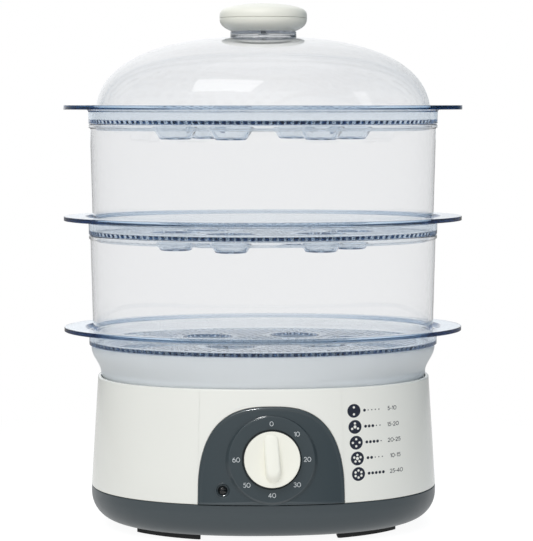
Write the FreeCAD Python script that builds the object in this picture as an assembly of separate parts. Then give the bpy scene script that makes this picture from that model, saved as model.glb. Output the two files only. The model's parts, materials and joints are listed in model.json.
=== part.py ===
import FreeCAD, Part
import math
import os

# Electric food steamer with three stacked tiers.
# Units are millimetres. +X is to the right, +Y to the back, +Z up.
# Everything is modelled round the tower's own vertical axis, on a surface at z = 0, and
# each piece is then moved along Y so that the origin is the centre of the whole footprint.

V = FreeCAD.Vector

# ---------------------------------------------------------------- driving dimensions

SEAT = 0.3                # gap left between loose pieces that rest on each other
FIT = 0.25                # gap between fixed pieces that are fitted into each other

# Base
BASE_A = 130.0            # half length of the base at the parting line
BASE_B = 110.0            # half depth there
BASE_N = 2.25             # squareness of the base's outline, 2 being an ellipse
SPLIT_Z = 29.7            # parting line between the dark housing and the white shell
SPLIT_GAP = 0.4           # shadow gap at the parting line
SHELL_TOP_Z = 112.0       # top edge of the white shell
SHELL_TOP_A = 124.8       # half length of the shell at its top edge
SHELL_TOP_B = 99.0        # half depth there
SHELL_T = 2.4             # wall of the shell
LEDGE_Z = 104.0           # top of the ledge inside the shell
LEDGE_W = 4.0             # width of that ledge
LEDGE_T = 2.0             # thickness of that ledge
UNDER_Z = 4.5             # underside of the housing
UNDER_R = 20.0            # radius of the housing's bottom edge
HOUSING_T = 2.5           # wall of the housing
TONGUE_H = 4.0            # lip of the housing that stands up inside the shell
TONGUE_T = 1.8            # thickness of that lip
VENT_W = 3.0              # cooling slots in the underside: width
VENT_L = 26.0             # and length
VENT_PITCH = 7.2          # and spacing
VENT_COUNT = 5            # and number on each side
VENT_X = 30.0             # distance of the middle vent of each side from the centre line
GLAND_R = 6.0             # cord gland: radius in the housing's rear wall
GLAND_LIP = 2.0           # its outer lip: how far it stands out past the hole, and its thickness
GLAND_BORE_R = 3.4        # hole for the cord
TERMINAL_SIZE = (30.0, 15.0, 11.0)     # terminal block: length, width, height
TERMINAL_PLACE = (34.0, -52.0)         # its near left corner
TERMINAL_PITCH = 9.0      # spacing of its three ways

# Feet
FOOT_A = 112.0            # outer half length of the oval that the feet lie on
FOOT_B = 88.0             # outer half depth of that oval
FOOT_W = 13.0             # width of a foot
FOOT_X0 = 50.0            # the feet run from this distance to the side
FOOT_X1 = 96.0            # to this one
FOOT_Y0 = 38.0            # and start at this distance from the long axis
PEG_R = 2.5               # peg that holds a foot
PEG_H = 4.5               # height of that peg above the underside

# Control panel, dial and timer
ARCH_A = 52.8             # half width of the arched panel at its foot
ARCH_H = 69.4             # height of the arch above the parting line
ARCH_N = 2.7              # squareness of the arch
PANEL_PROUD = 1.0         # how far the panel stands out of the shell
DIAL_Z = 62.5             # height of the dial's centre
DIAL_R = 30.7             # radius of the raised round dial
DIAL_H = 1.6              # its height above the panel at its centre
DIAL_FLARE = 3.5          # widening of the dial's edge towards the back of its boss
KNOB_CLEAR = 0.7          # gap between the knob and its round pocket
POCKET_D = 3.6            # depth of that pocket
POCKET_FLOOR = 2.5        # thickness of its floor
KNOB_R = 20.0             # radius of the timer knob
KNOB_H = 6.0              # height of its face above the dial
KNOB_GAP = 0.8            # gap under the knob
KNOB_WALL = 2.0           # wall of the knob
KNOB_RIM = 1.6            # width of the knob's rim
KNOB_DISH = 1.6           # how far the knob's face lies below its rim
GRIP_W = 10.7             # width of the knob's grip bar
GRIP_END = 17.4           # distance of the bar's lower end from the knob's axis
GRIP_H = 7.5              # height of that end above the rim, the bar's upper end being level with it
SHAFT_R = 3.0             # timer shaft
SHAFT_FLAT = 2.2          # distance of the shaft's flat from its axis
SHAFT_CLEAR = 0.05        # running clearance of the shaft
BUSH_R = 5.5              # bushing round the shaft
TIMER_SIDE = 36.0         # side of the square timer movement
TIMER_DEPTH = 28.0        # depth of the timer movement
TIMER_PLATE_T = 1.2       # mounting plate of the timer
TIMER_PLATE_L = 52.0      # length of that plate
BELL_R = 16.0             # radius of the end-of-time bell
BELL_H = 6.0              # height of the bell
LAMP_X = -35.0            # indicator lamp: distance from the centre line
LAMP_Z = 40.5             # and height
LAMP_R = 3.3              # radius of its lens
LAMP_DISH_R = 5.2         # radius of the dish round it

# Water tank and heater
TANK_Y = 18.0             # the basin's centre, behind the tower's axis to clear the timer
TANK_A = 110.0            # half length of the basin's mouth
TANK_B = 69.0             # half depth of the basin's mouth
TANK_DRAFT = 5.0          # how much smaller the basin is at its floor, each side
TANK_FLOOR_Z = 40.0       # top of the basin's floor
TANK_T = 2.2              # wall of the tank
HEATER_R = 40.0           # radius of the stainless heating plate
HEATER_T = 1.5            # thickness of that plate
HEATER_SEAT = 6.0         # how far the plate reaches past the hole in the basin's floor
GASKET_T = 1.0            # silicone gasket between plate and floor
COIL_IN = 9.0             # how far the heating element's loop lies inside that hole
COIL_TUBE_R = 3.3         # radius of its tube
POST_X = 70.0             # screw posts under the tank: distance to the side
POST_Y = (-14.0, 38.0)    # and places along Y
POST_R = 4.5              # radius of a screw post
SCREW_R = 1.75            # radius of a housing screw
SCREW_HEAD_R = 3.5        # radius of its head

# Drip tray
DRIP_RIM_OUT = 1.7        # how far the drip tray's rim stands out past the bowls' top edge
DRIP_WAIST_IN = 2.2       # how far its waist stays inside the shell's top edge
DRIP_WAIST_UP = 2.0       # height of the waist above the shell
DRIP_FIT = 0.4            # gap between the drip tray and the shell
DRIP_DRAFT = 1.1          # how much smaller it is at its floor, each side
DRIP_N = 2.15             # squareness of the part that sits in the shell
DRIP_T = 2.0              # its wall
CHIMNEY_A = 46.0          # half length of the oval steam opening
CHIMNEY_B = 26.0          # half depth of that opening
CHIMNEY_H = 9.0           # how far its wall stands above the drip tray's floor
CHIMNEY_Y = 9.0           # its centre, between the tower's axis and the basin's centre

# Stack of tiers
TIERS = 3                 # number of steaming trays
TRAY_Z = 147.0            # middle plane of the lowest tray's flange
PITCH = 83.1              # distance from one flange to the next
BOWL_A = 128.0            # half length of a bowl at its top edge
BOWL_B = 95.5             # half depth there
BOWL_DRAFT = 2.0          # how much smaller a bowl is at its bottom edge, each side
BOWL_T = 2.0              # wall of the bowls and of the lid
BEAD_W = 3.2              # rim bead of a bowl
BEAD_H = 3.0              # height of that bead
FLANGE_A = 150.0          # half length of a tray's flange
FLANGE_B = 105.0          # half depth of a tray's flange
FLANGE_T = 3.2            # thickness of the flange
RECESS_GAP = 3.5          # tray recess outside the bowls' top edge
RECESS_T = 2.3            # wall of the recess
RECESS_DEPTH = 9.5        # from the flange's middle plane down to the tray's floor
FLOOR_T = 2.5             # thickness of the tray's floor
LIP_H = 5.0               # locating lip under the tray
LIP_T = 1.8               # thickness of that lip
LIP_FIT = 0.6             # gap between the lip and the bowl below it
CUP_R = 21.0              # egg cup: radius at the tray's floor
CUP_BOTTOM_R = 11.5       # radius at its bottom
CUP_DEPTH = 14.5          # depth below the tray's floor
CUP_T = 1.6               # wall of the cup
CUP_DRAIN_R = 3.0         # drain hole of the cup
CUPS = ((26.0, 38.0), (41.0, -30.0), (66.0, 6.0))   # half of the cups, the rest mirrored
HOLE_R = 3.4              # steam holes of the tray's floor
HOLE_PITCH = 19.0         # their spacing

# Lid
LID_H = 62.2              # height of the dome above the tray's floor
LID_N = 2.45              # squareness of the dome's outline
NECK_R = 24.8             # round neck under the lid's knob
NECK_H = 4.2              # its height
NECK_RIM = 4.0            # width of the flat rim inside the neck
LID_KNOB_R = 32.8         # lid knob
LID_BASE_H = 11.6         # height of the knob's lower half
LID_BASE_ROUND = 9.5      # radius of its bottom edge
LID_CAP_H = 9.0           # height of the knob's upper half
LID_CAP_ROUND = 7.0       # radius of its top edge
LID_CAP_CROWN = 1.2       # how far its top is crowned
LID_KNOB_T = 2.5          # wall of both halves
LID_KNOB_GAP = 0.4        # seam between the two halves
LID_BOSS_R = 5.0          # boss for the screw in the lower half
LID_SCREW_R = 2.0         # screw that holds the knob
LID_SCREW_L = 11.0        # length of that screw

# ---------------------------------------------------------------- worked-out sizes

SHELL_H = SHELL_TOP_Z - SPLIT_Z
TILT = math.degrees(math.atan((BASE_B - SHELL_TOP_B) / SHELL_H))
POCKET_R = KNOB_R + KNOB_CLEAR
HEATER_HOLE_R = HEATER_R - HEATER_SEAT
COIL_R = HEATER_HOLE_R - COIL_IN
RECESS_A = BOWL_A + RECESS_GAP
RECESS_B = BOWL_B + RECESS_GAP
LIP_A = BOWL_A - BOWL_T - LIP_FIT
LIP_B = BOWL_B - BOWL_T - LIP_FIT
TRAY_UNDER = RECESS_DEPTH + FLOOR_T          # flange's middle plane to the tray's underside
DRIP_TOP_Z = TRAY_Z - TRAY_UNDER - SEAT
LID_Z = TRAY_Z + (TIERS - 1) * PITCH - RECESS_DEPTH + SEAT
LID_A = BOWL_A - BOWL_DRAFT
LID_B = BOWL_B - BOWL_DRAFT
TANK_UNDER_Z = TANK_FLOOR_Z - TANK_T
HEATER_Z = TANK_FLOOR_Z + GASKET_T


def shell_size(z, offset=0.0):
    """Half length and half depth of the shell's outer face at height z, plus an offset."""
    t = (z - SPLIT_Z) / SHELL_H
    a = BASE_A + (SHELL_TOP_A - BASE_A) * t
    b = BASE_B + (SHELL_TOP_B - BASE_B) * t
    return a + offset, b + offset


# ---------------------------------------------------------------- shape helpers


def oval(a, b, z, n=2.0, y=0.0):
    """Closed horizontal outline |x/a|^n + |y/b|^n = 1 at height z."""
    if n == 2.0:
        return Part.Wire(Part.Ellipse(V(0, y, z), max(a, b), b).toShape())
    points = []
    steps = 32
    for i in range(steps):
        t = 2 * math.pi * i / steps
        c = math.cos(t)
        s = math.sin(t)
        px = math.copysign(a * abs(c) ** (2 / n), c)
        py = math.copysign(b * abs(s) ** (2 / n), s)
        points.append(V(px, y + py, z))
    curve = Part.BSplineCurve()
    curve.interpolate(Points=points, PeriodicFlag=True)
    return Part.Wire(curve.toShape())


def band(sections, n=2.0, y=0.0, smooth=False):
    """Solid whose side runs through the ovals (half length, half depth, height)."""
    wires = [oval(a, b, z, n, y) for a, b, z in sections]
    return Part.makeLoft(wires, True, not smooth)


def grown(sections, d):
    """The same sections with every half length and half depth changed by d."""
    return [(a + d, b + d, z) for a, b, z in sections]


def cylinder(r, z0, z1, x=0.0, y=0.0):
    """Upright cylinder between two heights."""
    return Part.makeCylinder(r, z1 - z0, V(x, y, z0))


def cone(r0, r1, z0, z1, x=0.0, y=0.0):
    """Upright cone frustum between two heights."""
    return Part.makeCone(r0, r1, z1 - z0, V(x, y, z0))


def block(x0, x1, y0, y1, z0, z1):
    """Box between two corners."""
    return Part.makeBox(x1 - x0, y1 - y0, z1 - z0, V(x0, y0, z0))


def turned(edges):
    """Solid of revolution about Z of closed outline edges in the XZ plane."""
    return Part.Face(Part.Wire(edges)).revolve(V(0, 0, 0), V(0, 0, 1), 360)


def line(p, q):
    """Straight edge in the XZ plane between two (radius, height) points."""
    return Part.makeLine(V(p[0], 0, p[1]), V(q[0], 0, q[1]))


def arc(p, m, q):
    """Arc edge in the XZ plane through three (radius, height) points."""
    return Part.Arc(V(p[0], 0, p[1]), V(m[0], 0, m[1]), V(q[0], 0, q[1])).toShape()


def round_edges(shape, radius, test):
    """Round the edges whose bounding box passes the test."""
    edges = [e for e in shape.Edges if test(e.BoundBox)]
    return shape.makeFillet(radius, edges)


def level_edges(z):
    """Test for edges that lie flat at height z."""
    return lambda box: abs(box.ZMin - z) < 0.01 and abs(box.ZMax - z) < 0.01


def fused(shapes):
    """One solid out of several that overlap."""
    result = shapes[0].fuse(shapes[1:])
    return result.removeSplitter()


def panel_frame(shape):
    """Move a shape from the dial's own frame, +Z straight out of the panel, to its place."""
    b = shell_size(DIAL_Z, PANEL_PROUD)[1]
    moved = shape.copy()
    turn = FreeCAD.Rotation(V(1, 0, 0), 90 - TILT)
    moved.Placement = FreeCAD.Placement(V(0, -b, DIAL_Z), turn).multiply(moved.Placement)
    return moved


# ---------------------------------------------------------------- base


def lower_housing():
    """Dark bottom pan with a large round bottom edge, vents and screw holes."""
    top = SPLIT_Z
    outer = band([(BASE_A, BASE_B, UNDER_Z), (BASE_A, BASE_B, top)], BASE_N)
    outer = round_edges(outer, UNDER_R, level_edges(UNDER_Z))
    floor_z = UNDER_Z + HOUSING_T
    a = BASE_A - HOUSING_T
    b = BASE_B - HOUSING_T
    inner = band([(a, b, floor_z), (a, b, top + 1)], BASE_N)
    inner = round_edges(inner, UNDER_R - HOUSING_T, level_edges(floor_z))
    pan = outer.cut(inner)
    ta, tb = shell_size(SPLIT_Z, -SHELL_T - FIT)
    tongue_top = SPLIT_Z + TONGUE_H
    tongue = band([(ta, tb, SPLIT_Z - 0.5), shell_size(tongue_top, -SHELL_T - FIT) + (tongue_top,)], BASE_N)
    root = band([(a + 0.5, b + 0.5, SPLIT_Z - 6), (a + 0.5, b + 0.5, SPLIT_Z)], BASE_N)
    bore = [(ta - TONGUE_T, tb - TONGUE_T, z) for z in (SPLIT_Z - 7, tongue_top + 1)]
    pan = fused([pan, fused([root, tongue]).cut(band(bore, BASE_N))])
    behind_dial = DIAL_R + DIAL_FLARE + 6
    bosses = []
    cuts = [block(-behind_dial, behind_dial, -BASE_B, -BASE_B * 0.7, SPLIT_Z, tongue_top + 1)]
    for x, y in post_places():
        bosses.append(cylinder(POST_R, UNDER_Z + 1, post_bottom() - FIT, x, y))
        cuts.append(cylinder(SCREW_R + FIT, 0, post_bottom() + 1, x, y))
        cuts.append(cylinder(SCREW_HEAD_R + FIT, 0, UNDER_Z + HOUSING_T, x, y))
    for x, y in foot_pegs():
        cuts.append(cylinder(PEG_R + FIT, 0, UNDER_Z + HOUSING_T + 1, x, y))
    for side in (-1, 1):
        for i in range(VENT_COUNT):
            x = side * VENT_X + (i - (VENT_COUNT - 1) / 2) * VENT_PITCH
            y0 = TANK_Y - VENT_L / 2
            cuts.append(block(x - VENT_W / 2, x + VENT_W / 2, y0, y0 + VENT_L, 0, UNDER_Z + HOUSING_T + 1))
    cuts.append(gland_bore())
    return fused([pan] + bosses).cut(Part.makeCompound(cuts))


def post_places():
    """Places of the four screw posts."""
    return [(side * POST_X, y) for y in POST_Y for side in (-1, 1)]


def post_bottom():
    """Height of the lower end of the tank's screw posts."""
    return UNDER_Z + HOUSING_T + 5


def gland_place():
    """Centre of the cord opening in the rear wall of the housing."""
    return V(0, BASE_B, UNDER_Z + UNDER_R - 4)


def gland_bore():
    """Round opening for the cord gland."""
    p = gland_place()
    return Part.makeCylinder(GLAND_R + FIT, 20, p - V(0, 14, 0), V(0, 1, 0))


def cord_gland():
    """Moulded gland with a flange inside and outside the wall."""
    p = gland_place()
    tube = Part.makeCylinder(GLAND_R, HOUSING_T + 7.5, p - V(0, HOUSING_T + 6, 0), V(0, 1, 0))
    outside = Part.makeCylinder(GLAND_R + GLAND_LIP, GLAND_LIP, p + V(0, 0.1, 0), V(0, 1, 0))
    inside = Part.makeCylinder(GLAND_R + 0.8, GLAND_LIP, p - V(0, HOUSING_T + 6.5, 0), V(0, 1, 0))
    bore = Part.makeCylinder(GLAND_BORE_R, 20, p - V(0, 14, 0), V(0, 1, 0))
    return fused([tube, outside, inside]).cut(bore)


def outer_shell():
    """White shell: drafted oval wall with a ledge inside and an arched cut-out."""
    z0 = SPLIT_Z + SPLIT_GAP
    sections = [shell_size(z) + (z,) for z in (z0, SHELL_TOP_Z)]
    outer = band(sections, BASE_N)
    outer = round_edges(outer, 1.0, level_edges(SHELL_TOP_Z))
    inner = band([shell_size(z, -SHELL_T) + (z,) for z in (z0 - 1, SHELL_TOP_Z + 1)], BASE_N)
    wall = outer.cut(inner)
    low = LEDGE_Z - LEDGE_T
    rim = band([shell_size(z, -0.5) + (z,) for z in (low, LEDGE_Z)], BASE_N)
    hole = band([shell_size(z, -SHELL_T - LEDGE_W) + (z,) for z in (low - 1, LEDGE_Z + 1)], BASE_N)
    shell = fused([wall, rim.cut(hole)])
    return shell.cut(arch_prism(FIT, z0 - 5))


def arch_prism(margin, foot_z):
    """Prism along Y through the front wall, with the panel's arched outline."""
    a = ARCH_A + margin
    h = ARCH_H + margin
    points = []
    steps = 24
    for i in range(steps + 1):
        t = math.pi * i / steps
        c = math.cos(t)
        px = math.copysign(a * abs(c) ** (2 / ARCH_N), c)
        points.append(V(px, -BASE_B - 15, SPLIT_Z + SPLIT_GAP + h * math.sin(t) ** (2 / ARCH_N)))
    curve = Part.BSplineCurve()
    curve.interpolate(points)
    p, q = points[0], points[-1]
    corners = [q, V(q.x, q.y, foot_z), V(p.x, p.y, foot_z), p]
    edges = [Part.makeLine(u, v) for u, v in zip(corners, corners[1:]) if u.distanceToPoint(v) > 0.001]
    return Part.Face(Part.Wire([curve.toShape()] + edges)).extrude(V(0, BASE_B - 30, 0))


def control_panel():
    """Arched panel with the raised dial, the knob's pocket and the lamp's dish."""
    z0 = SPLIT_Z + SPLIT_GAP - 2
    z1 = SPLIT_Z + ARCH_H + 4
    outer = band([shell_size(z, PANEL_PROUD) + (z,) for z in (z0, z1)], BASE_N)
    inner = band([shell_size(z, -SHELL_T) + (z,) for z in (z0 - 1, z1 + 1)], BASE_N)
    skin = outer.cut(inner).common(arch_prism(0, SPLIT_Z + SPLIT_GAP))
    low = DIAL_H - POCKET_D - POCKET_FLOOR
    disc = cone(DIAL_R + DIAL_FLARE, DIAL_R, low, DIAL_H)
    keep = arch_prism(-0.4, SPLIT_Z + SPLIT_GAP)
    dial = panel_frame(disc).common(keep)
    panel = fused([skin, dial])
    pocket = panel_frame(cylinder(POCKET_R, DIAL_H - POCKET_D, DIAL_H + 5))
    bore = panel_frame(cylinder(BUSH_R + FIT, low - 5, DIAL_H))
    lamp = lamp_frame(cylinder(LAMP_R + FIT, -12, 5))
    dish = lamp_frame(cone(LAMP_R + 0.4, LAMP_DISH_R, -1.8, 0.4))
    return panel.cut(Part.makeCompound([pocket, bore])).cut(lamp).cut(dish)


def lamp_frame(shape):
    """Move a shape from the lamp's own frame, +Z out of the panel, to its place."""
    a, b = shell_size(LAMP_Z, PANEL_PROUD)
    y = b * (1 - (abs(LAMP_X) / a) ** BASE_N) ** (1 / BASE_N)
    moved = shape.copy()
    turn = FreeCAD.Rotation(V(1, 0, 0), 90 - TILT)
    moved.Placement = FreeCAD.Placement(V(LAMP_X, -y, LAMP_Z), turn).multiply(moved.Placement)
    return moved


def indicator_lens():
    """Clear domed lens with a collar behind the panel."""
    r = LAMP_R
    low = -1.6
    rise = 1.8
    sphere_r = (r * r + rise * rise) / (2 * rise)
    middle = (r * 0.6, low + rise - sphere_r + math.sqrt(sphere_r ** 2 - (r * 0.6) ** 2))
    edges = [line((0, -6), (r, -6)), line((r, -6), (r, low)), arc((r, low), middle, (0, low + rise)),
             line((0, low + rise), (0, -6))]
    collar = cylinder(r + 1.6, -6, -PANEL_PROUD - SHELL_T - 1.2)
    return lamp_frame(fused([turned(edges), collar]))


def indicator_lamp():
    """Small neon lamp in its holder behind the lens."""
    glass = cylinder(2.2, -14, -6 - FIT)
    holder = cylinder(3.4, -22, -14)
    return lamp_frame(fused([glass, holder]))


def timer_low():
    """Height in the dial's frame of the back of the panel's boss."""
    return DIAL_H - POCKET_D - POCKET_FLOOR - FIT


def timer_plate():
    """Steel mounting plate with a short bushing for the shaft."""
    top = timer_low()
    half = TIMER_PLATE_L / 2
    plate = block(-half, half, -9, 9, top - TIMER_PLATE_T, top)
    bush = cylinder(BUSH_R, top - 0.5, top + POCKET_FLOOR)
    holes = [cylinder(SCREW_R + FIT, top - 5, top + 1, side * (half - 3.5), 0) for side in (-1, 1)]
    bore = cylinder(SHAFT_R + SHAFT_CLEAR, top - 5, top + 5)
    return panel_frame(fused([plate, bush]).cut(Part.makeCompound(holes + [bore])))


def timer_screws():
    """Two screws that hold the timer's plate to the panel."""
    top = timer_low() - TIMER_PLATE_T
    solids = []
    for side in (-1, 1):
        x = side * (TIMER_PLATE_L / 2 - 3.5)
        head = cylinder(SCREW_HEAD_R - 0.3, top - 2.0, top - 0.05, x, 0)
        stem = cylinder(SCREW_R, top - 0.5, top + TIMER_PLATE_T, x, 0)
        solids.append(head.fuse(stem))
    return panel_frame(Part.makeCompound(solids))


def timer_case():
    """Closed clockwork movement with a bore for the shaft and two terminals."""
    top = timer_low() - TIMER_PLATE_T - 0.05
    h = TIMER_SIDE / 2
    case = block(-h, h, -h, h, top - TIMER_DEPTH, top)
    case = round_edges(case, 4.0, lambda box: box.ZLength > TIMER_DEPTH - 0.1)
    bore = cylinder(SHAFT_R + SHAFT_CLEAR, top - 15, top + 1)
    tabs = [block(s * 8 - 3, s * 8 + 3, h - 1, h + 7, top - 14, top - 13.2) for s in (-1, 1)]
    return panel_frame(fused([case.cut(bore)] + tabs))


def timer_bell():
    """Dished steel bell behind the movement."""
    top = timer_low() - TIMER_PLATE_T - 0.05 - TIMER_DEPTH - 0.05
    t = 1.0
    edges = [line((0, top), (3, top)), line((3, top), (3, top - BELL_H + t)),
             line((3, top - BELL_H + t), (BELL_R - 5, top - BELL_H + t)),
             arc((BELL_R - 5, top - BELL_H + t), (BELL_R - 2.2, top - BELL_H + t + 1), (BELL_R - t, top - 1)),
             line((BELL_R - t, top - 1), (BELL_R, top - 1)),
             arc((BELL_R, top - 1), (BELL_R - 1.6, top - BELL_H + 0.9), (BELL_R - 5, top - BELL_H)),
             line((BELL_R - 5, top - BELL_H), (0, top - BELL_H)), line((0, top - BELL_H), (0, top))]
    return panel_frame(turned(edges))


def d_shaft(r, z0, z1, flat_from):
    """Shaft with a flat on its upper side above a given height."""
    shaft = cylinder(r, z0, z1)
    flat = block(-10, 10, SHAFT_FLAT + r - SHAFT_R, 10, flat_from, z1 + 1)
    return shaft.cut(flat)


def timer_shaft():
    """D-shaped steel shaft from the movement into the knob."""
    z0 = timer_low() - TIMER_PLATE_T - 14
    return panel_frame(d_shaft(SHAFT_R, z0, DIAL_H + KNOB_H + 1, DIAL_H - POCKET_D + KNOB_GAP / 2))


def timer_knob():
    """Round hollow knob with a dished face, a grip bar that falls to the rim and a D-shaped hub."""
    low = DIAL_H - POCKET_D + KNOB_GAP
    top = DIAL_H + KNOB_H
    face = top - KNOB_DISH
    body = cylinder(KNOB_R, low, top)
    body = round_edges(body, KNOB_RIM / 2, level_edges(top)).cut(cylinder(KNOB_R - KNOB_RIM, face, top + 1))
    r = GRIP_W / 2
    upper = KNOB_R - KNOB_RIM / 2 - r
    lower = r - GRIP_END
    crest = top + GRIP_H
    bar = [block(-r, r, lower, upper, low + 2, crest)]
    bar += [cylinder(r, low + 2, crest, 0, end) for end in (lower, upper)]
    side = [(-GRIP_END, crest), (KNOB_R, top), (KNOB_R, crest + 1), (-GRIP_END, crest + 1)]
    slope = Part.Face(Part.makePolygon([V(-r - 1, y, z) for y, z in side + side[:1]]))
    grip = fused(bar).cut(slope.extrude(V(2 * r + 2, 0, 0)))
    grip = round_edges(grip, 2.0, lambda box: box.ZMin > top - 1)
    knob = fused([body, grip])
    hollow = cylinder(KNOB_R - KNOB_WALL, low - 1, face - KNOB_WALL)
    hub = cylinder(SHAFT_R + 2.5, low, face)
    bore = d_shaft(SHAFT_R + SHAFT_CLEAR, low - 1, top + 1 + FIT, low - 1)
    return panel_frame(fused([knob.cut(hollow), hub]).cut(bore))


# ---------------------------------------------------------------- feet


def foot_pegs():
    """Places of the four pegs, in the middle of each foot."""
    x = (FOOT_X0 + FOOT_X1) / 2
    a = FOOT_A - FOOT_W / 2
    b = FOOT_B - FOOT_W / 2
    y = b * math.sqrt(1 - (x / a) ** 2)
    return [(sx * x, sy * y) for sy in (-1, 1) for sx in (-1, 1)]


def foot(sx, sy):
    """Curved rubber pad with a peg into the housing."""
    oval_pad = [(FOOT_A, FOOT_B, 0), (FOOT_A, FOOT_B, UNDER_Z)]
    outline = band(oval_pad).cut(band([(a, b, z * 1.5 - 1) for a, b, z in grown(oval_pad, -FOOT_W)]))
    x0, x1 = sorted((sx * FOOT_X0, sx * FOOT_X1))
    y0, y1 = sorted((sy * FOOT_Y0, sy * FOOT_B * 1.2))
    pad = outline.common(block(x0, x1, y0, y1, 0, UNDER_Z))
    pad = round_edges(pad, 1.5, lambda box: box.ZLength > UNDER_Z - 0.1)
    x, y = [p for p in foot_pegs() if p[0] * sx > 0 and p[1] * sy > 0][0]
    return fused([pad, cylinder(PEG_R, UNDER_Z - 1, UNDER_Z + PEG_H, x, y)])


# ---------------------------------------------------------------- water tank and heater


def water_tank():
    """White basin hung in the shell by a full flange, with posts for the housing screws."""
    z1 = LEDGE_Z + TANK_T
    flange_size = shell_size(SHELL_TOP_Z, -SHELL_T - FIT)
    flange = band([flange_size + (LEDGE_Z,), flange_size + (z1,)], BASE_N)
    a, b = TANK_A + TANK_T, TANK_B + TANK_T
    body = band([(a - TANK_DRAFT, b - TANK_DRAFT, TANK_UNDER_Z), (a, b, z1 - 0.5)], y=TANK_Y)
    body = round_edges(body, 12.0, level_edges(TANK_UNDER_Z))
    slope = TANK_DRAFT / (z1 - TANK_UNDER_Z)
    up = 1.0
    basin = band([(TANK_A - TANK_DRAFT, TANK_B - TANK_DRAFT, TANK_FLOOR_Z),
                  (TANK_A + slope * up, TANK_B + slope * up, z1 + up)], y=TANK_Y)
    basin = round_edges(basin, 10.0, level_edges(TANK_FLOOR_Z))
    posts = [cylinder(POST_R, post_bottom(), TANK_FLOOR_Z - 0.5, x, y) for x, y in post_places()]
    drills = [cylinder(SCREW_R + 0.05, post_bottom() - 1, post_bottom() + 15, x, y) for x, y in post_places()]
    hole = cylinder(HEATER_HOLE_R, TANK_UNDER_Z - 1, TANK_FLOOR_Z + 1, 0, TANK_Y)
    tank = fused([flange, body]).cut(basin)
    return fused([tank] + posts).cut(Part.makeCompound(drills + [hole]))


def base_screws():
    """Four screws from below through the housing into the tank's posts."""
    solids = []
    for x, y in post_places():
        head = cylinder(SCREW_HEAD_R, UNDER_Z + 0.6, UNDER_Z + HOUSING_T - 0.05, x, y)
        stem = cylinder(SCREW_R, UNDER_Z + HOUSING_T - 1, post_bottom() + 12, x, y)
        solids.append(head.fuse(stem))
    return Part.makeCompound(solids)


def heater_gasket():
    """Silicone ring between the heating plate and the basin's floor."""
    z = TANK_FLOOR_Z
    ring = cylinder(HEATER_R - 1, z, z + GASKET_T, 0, TANK_Y)
    return ring.cut(cylinder(HEATER_HOLE_R, z - 1, z + 3, 0, TANK_Y))


def heating_plate():
    """Stainless plate with a turned-down skirt inside the floor's hole."""
    z0 = HEATER_Z
    z1 = z0 + HEATER_T
    r = HEATER_HOLE_R - 0.5
    skirt = TANK_UNDER_Z - 2
    edges = [line((0, z1), (HEATER_R - 3, z1)),
             arc((HEATER_R - 3, z1), (HEATER_R - 0.9, z1 - 0.35), (HEATER_R, z0)),
             line((HEATER_R, z0), (r, z0)), line((r, z0), (r, skirt)), line((r, skirt), (r - 1.2, skirt)),
             line((r - 1.2, skirt), (r - 1.2, z0)), line((r - 1.2, z0), (0, z0)), line((0, z0), (0, z1))]
    plate = turned(edges)
    plate.translate(V(0, TANK_Y, 0))
    return plate


def heating_element():
    """Sheathed element: an open loop brazed under the plate, both ends turned down."""
    z = HEATER_Z - COIL_TUBE_R - 0.05
    loop = Part.makeTorus(COIL_R, COIL_TUBE_R, V(0, TANK_Y, z))
    gap = 8.0
    loop = loop.cut(block(-gap, gap, TANK_Y, TANK_Y + COIL_R + 10, z - 6, z + 6))
    x = gap + COIL_TUBE_R - 0.6
    y = TANK_Y + math.sqrt(COIL_R ** 2 - x ** 2)
    ends = []
    for side in (-1, 1):
        ends.append(cylinder(COIL_TUBE_R, z - 12, z, side * x, y))
        ends.append(cylinder(1.2, z - 19, z - 11, side * x, y))
    return fused([loop] + ends)


def strap_top():
    """Height of the strap's upper face, just under the element's loop."""
    return HEATER_Z - 2 * COIL_TUBE_R - 0.1


def heater_bracket():
    """Pressed steel strap that holds the element up against the plate."""
    z1 = strap_top()
    half = HEATER_HOLE_R + 9
    strap = block(-half, half, TANK_Y - 7, TANK_Y + 7, z1 - 1.5, z1)
    strap = round_edges(strap, 5.0, lambda box: box.ZLength > 1.4 and box.ZLength < 1.6)
    feet = []
    for side in (-1, 1):
        x = side * (half - 4)
        feet.append(cylinder(4.0, z1 - 0.5, TANK_UNDER_Z - 0.05, x, TANK_Y))
    strap = fused([strap] + feet)
    bolt = [cylinder(SCREW_R + FIT, z1 - 5, z1 + 6, side * (half - 4), TANK_Y) for side in (-1, 1)]
    return strap.cut(Part.makeCompound(bolt + [cylinder(6.5, z1 - 5, z1 + 6, 0, TANK_Y)]))


def heater_screws():
    """Two screws that hold the strap."""
    z1 = strap_top() - 1.5
    solids = []
    for side in (-1, 1):
        x = side * (HEATER_HOLE_R + 5)
        head = cylinder(SCREW_HEAD_R - 0.3, z1 - 2, z1 - 0.05, x, TANK_Y)
        stem = cylinder(SCREW_R, z1 - 0.5, TANK_UNDER_Z - 0.1, x, TANK_Y)
        solids.append(head.fuse(stem))
    return Part.makeCompound(solids)


def thermostat():
    """Disc thermostat pressed against the middle of the plate through the strap."""
    top = HEATER_Z - 0.05
    disc = cylinder(8.5, top - 3, top, 0, TANK_Y)
    stem = cylinder(5.8, top - 14, top - 2.5, 0, TANK_Y)
    tabs = [block(s * 3 - 0.4, s * 3 + 0.4, TANK_Y - 3, TANK_Y + 3, top - 20, top - 13) for s in (-1, 1)]
    return fused([disc, stem] + tabs)


def thermal_fuse():
    """Thermal cut-out in its clip on the strap."""
    z = strap_top() - 1.5 - 2.3
    body = Part.makeCylinder(2.2, 15, V(-30, TANK_Y, z), V(1, 0, 0))
    leads = Part.makeCylinder(0.6, 23, V(-34, TANK_Y, z), V(1, 0, 0))
    return fused([body, leads])


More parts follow.
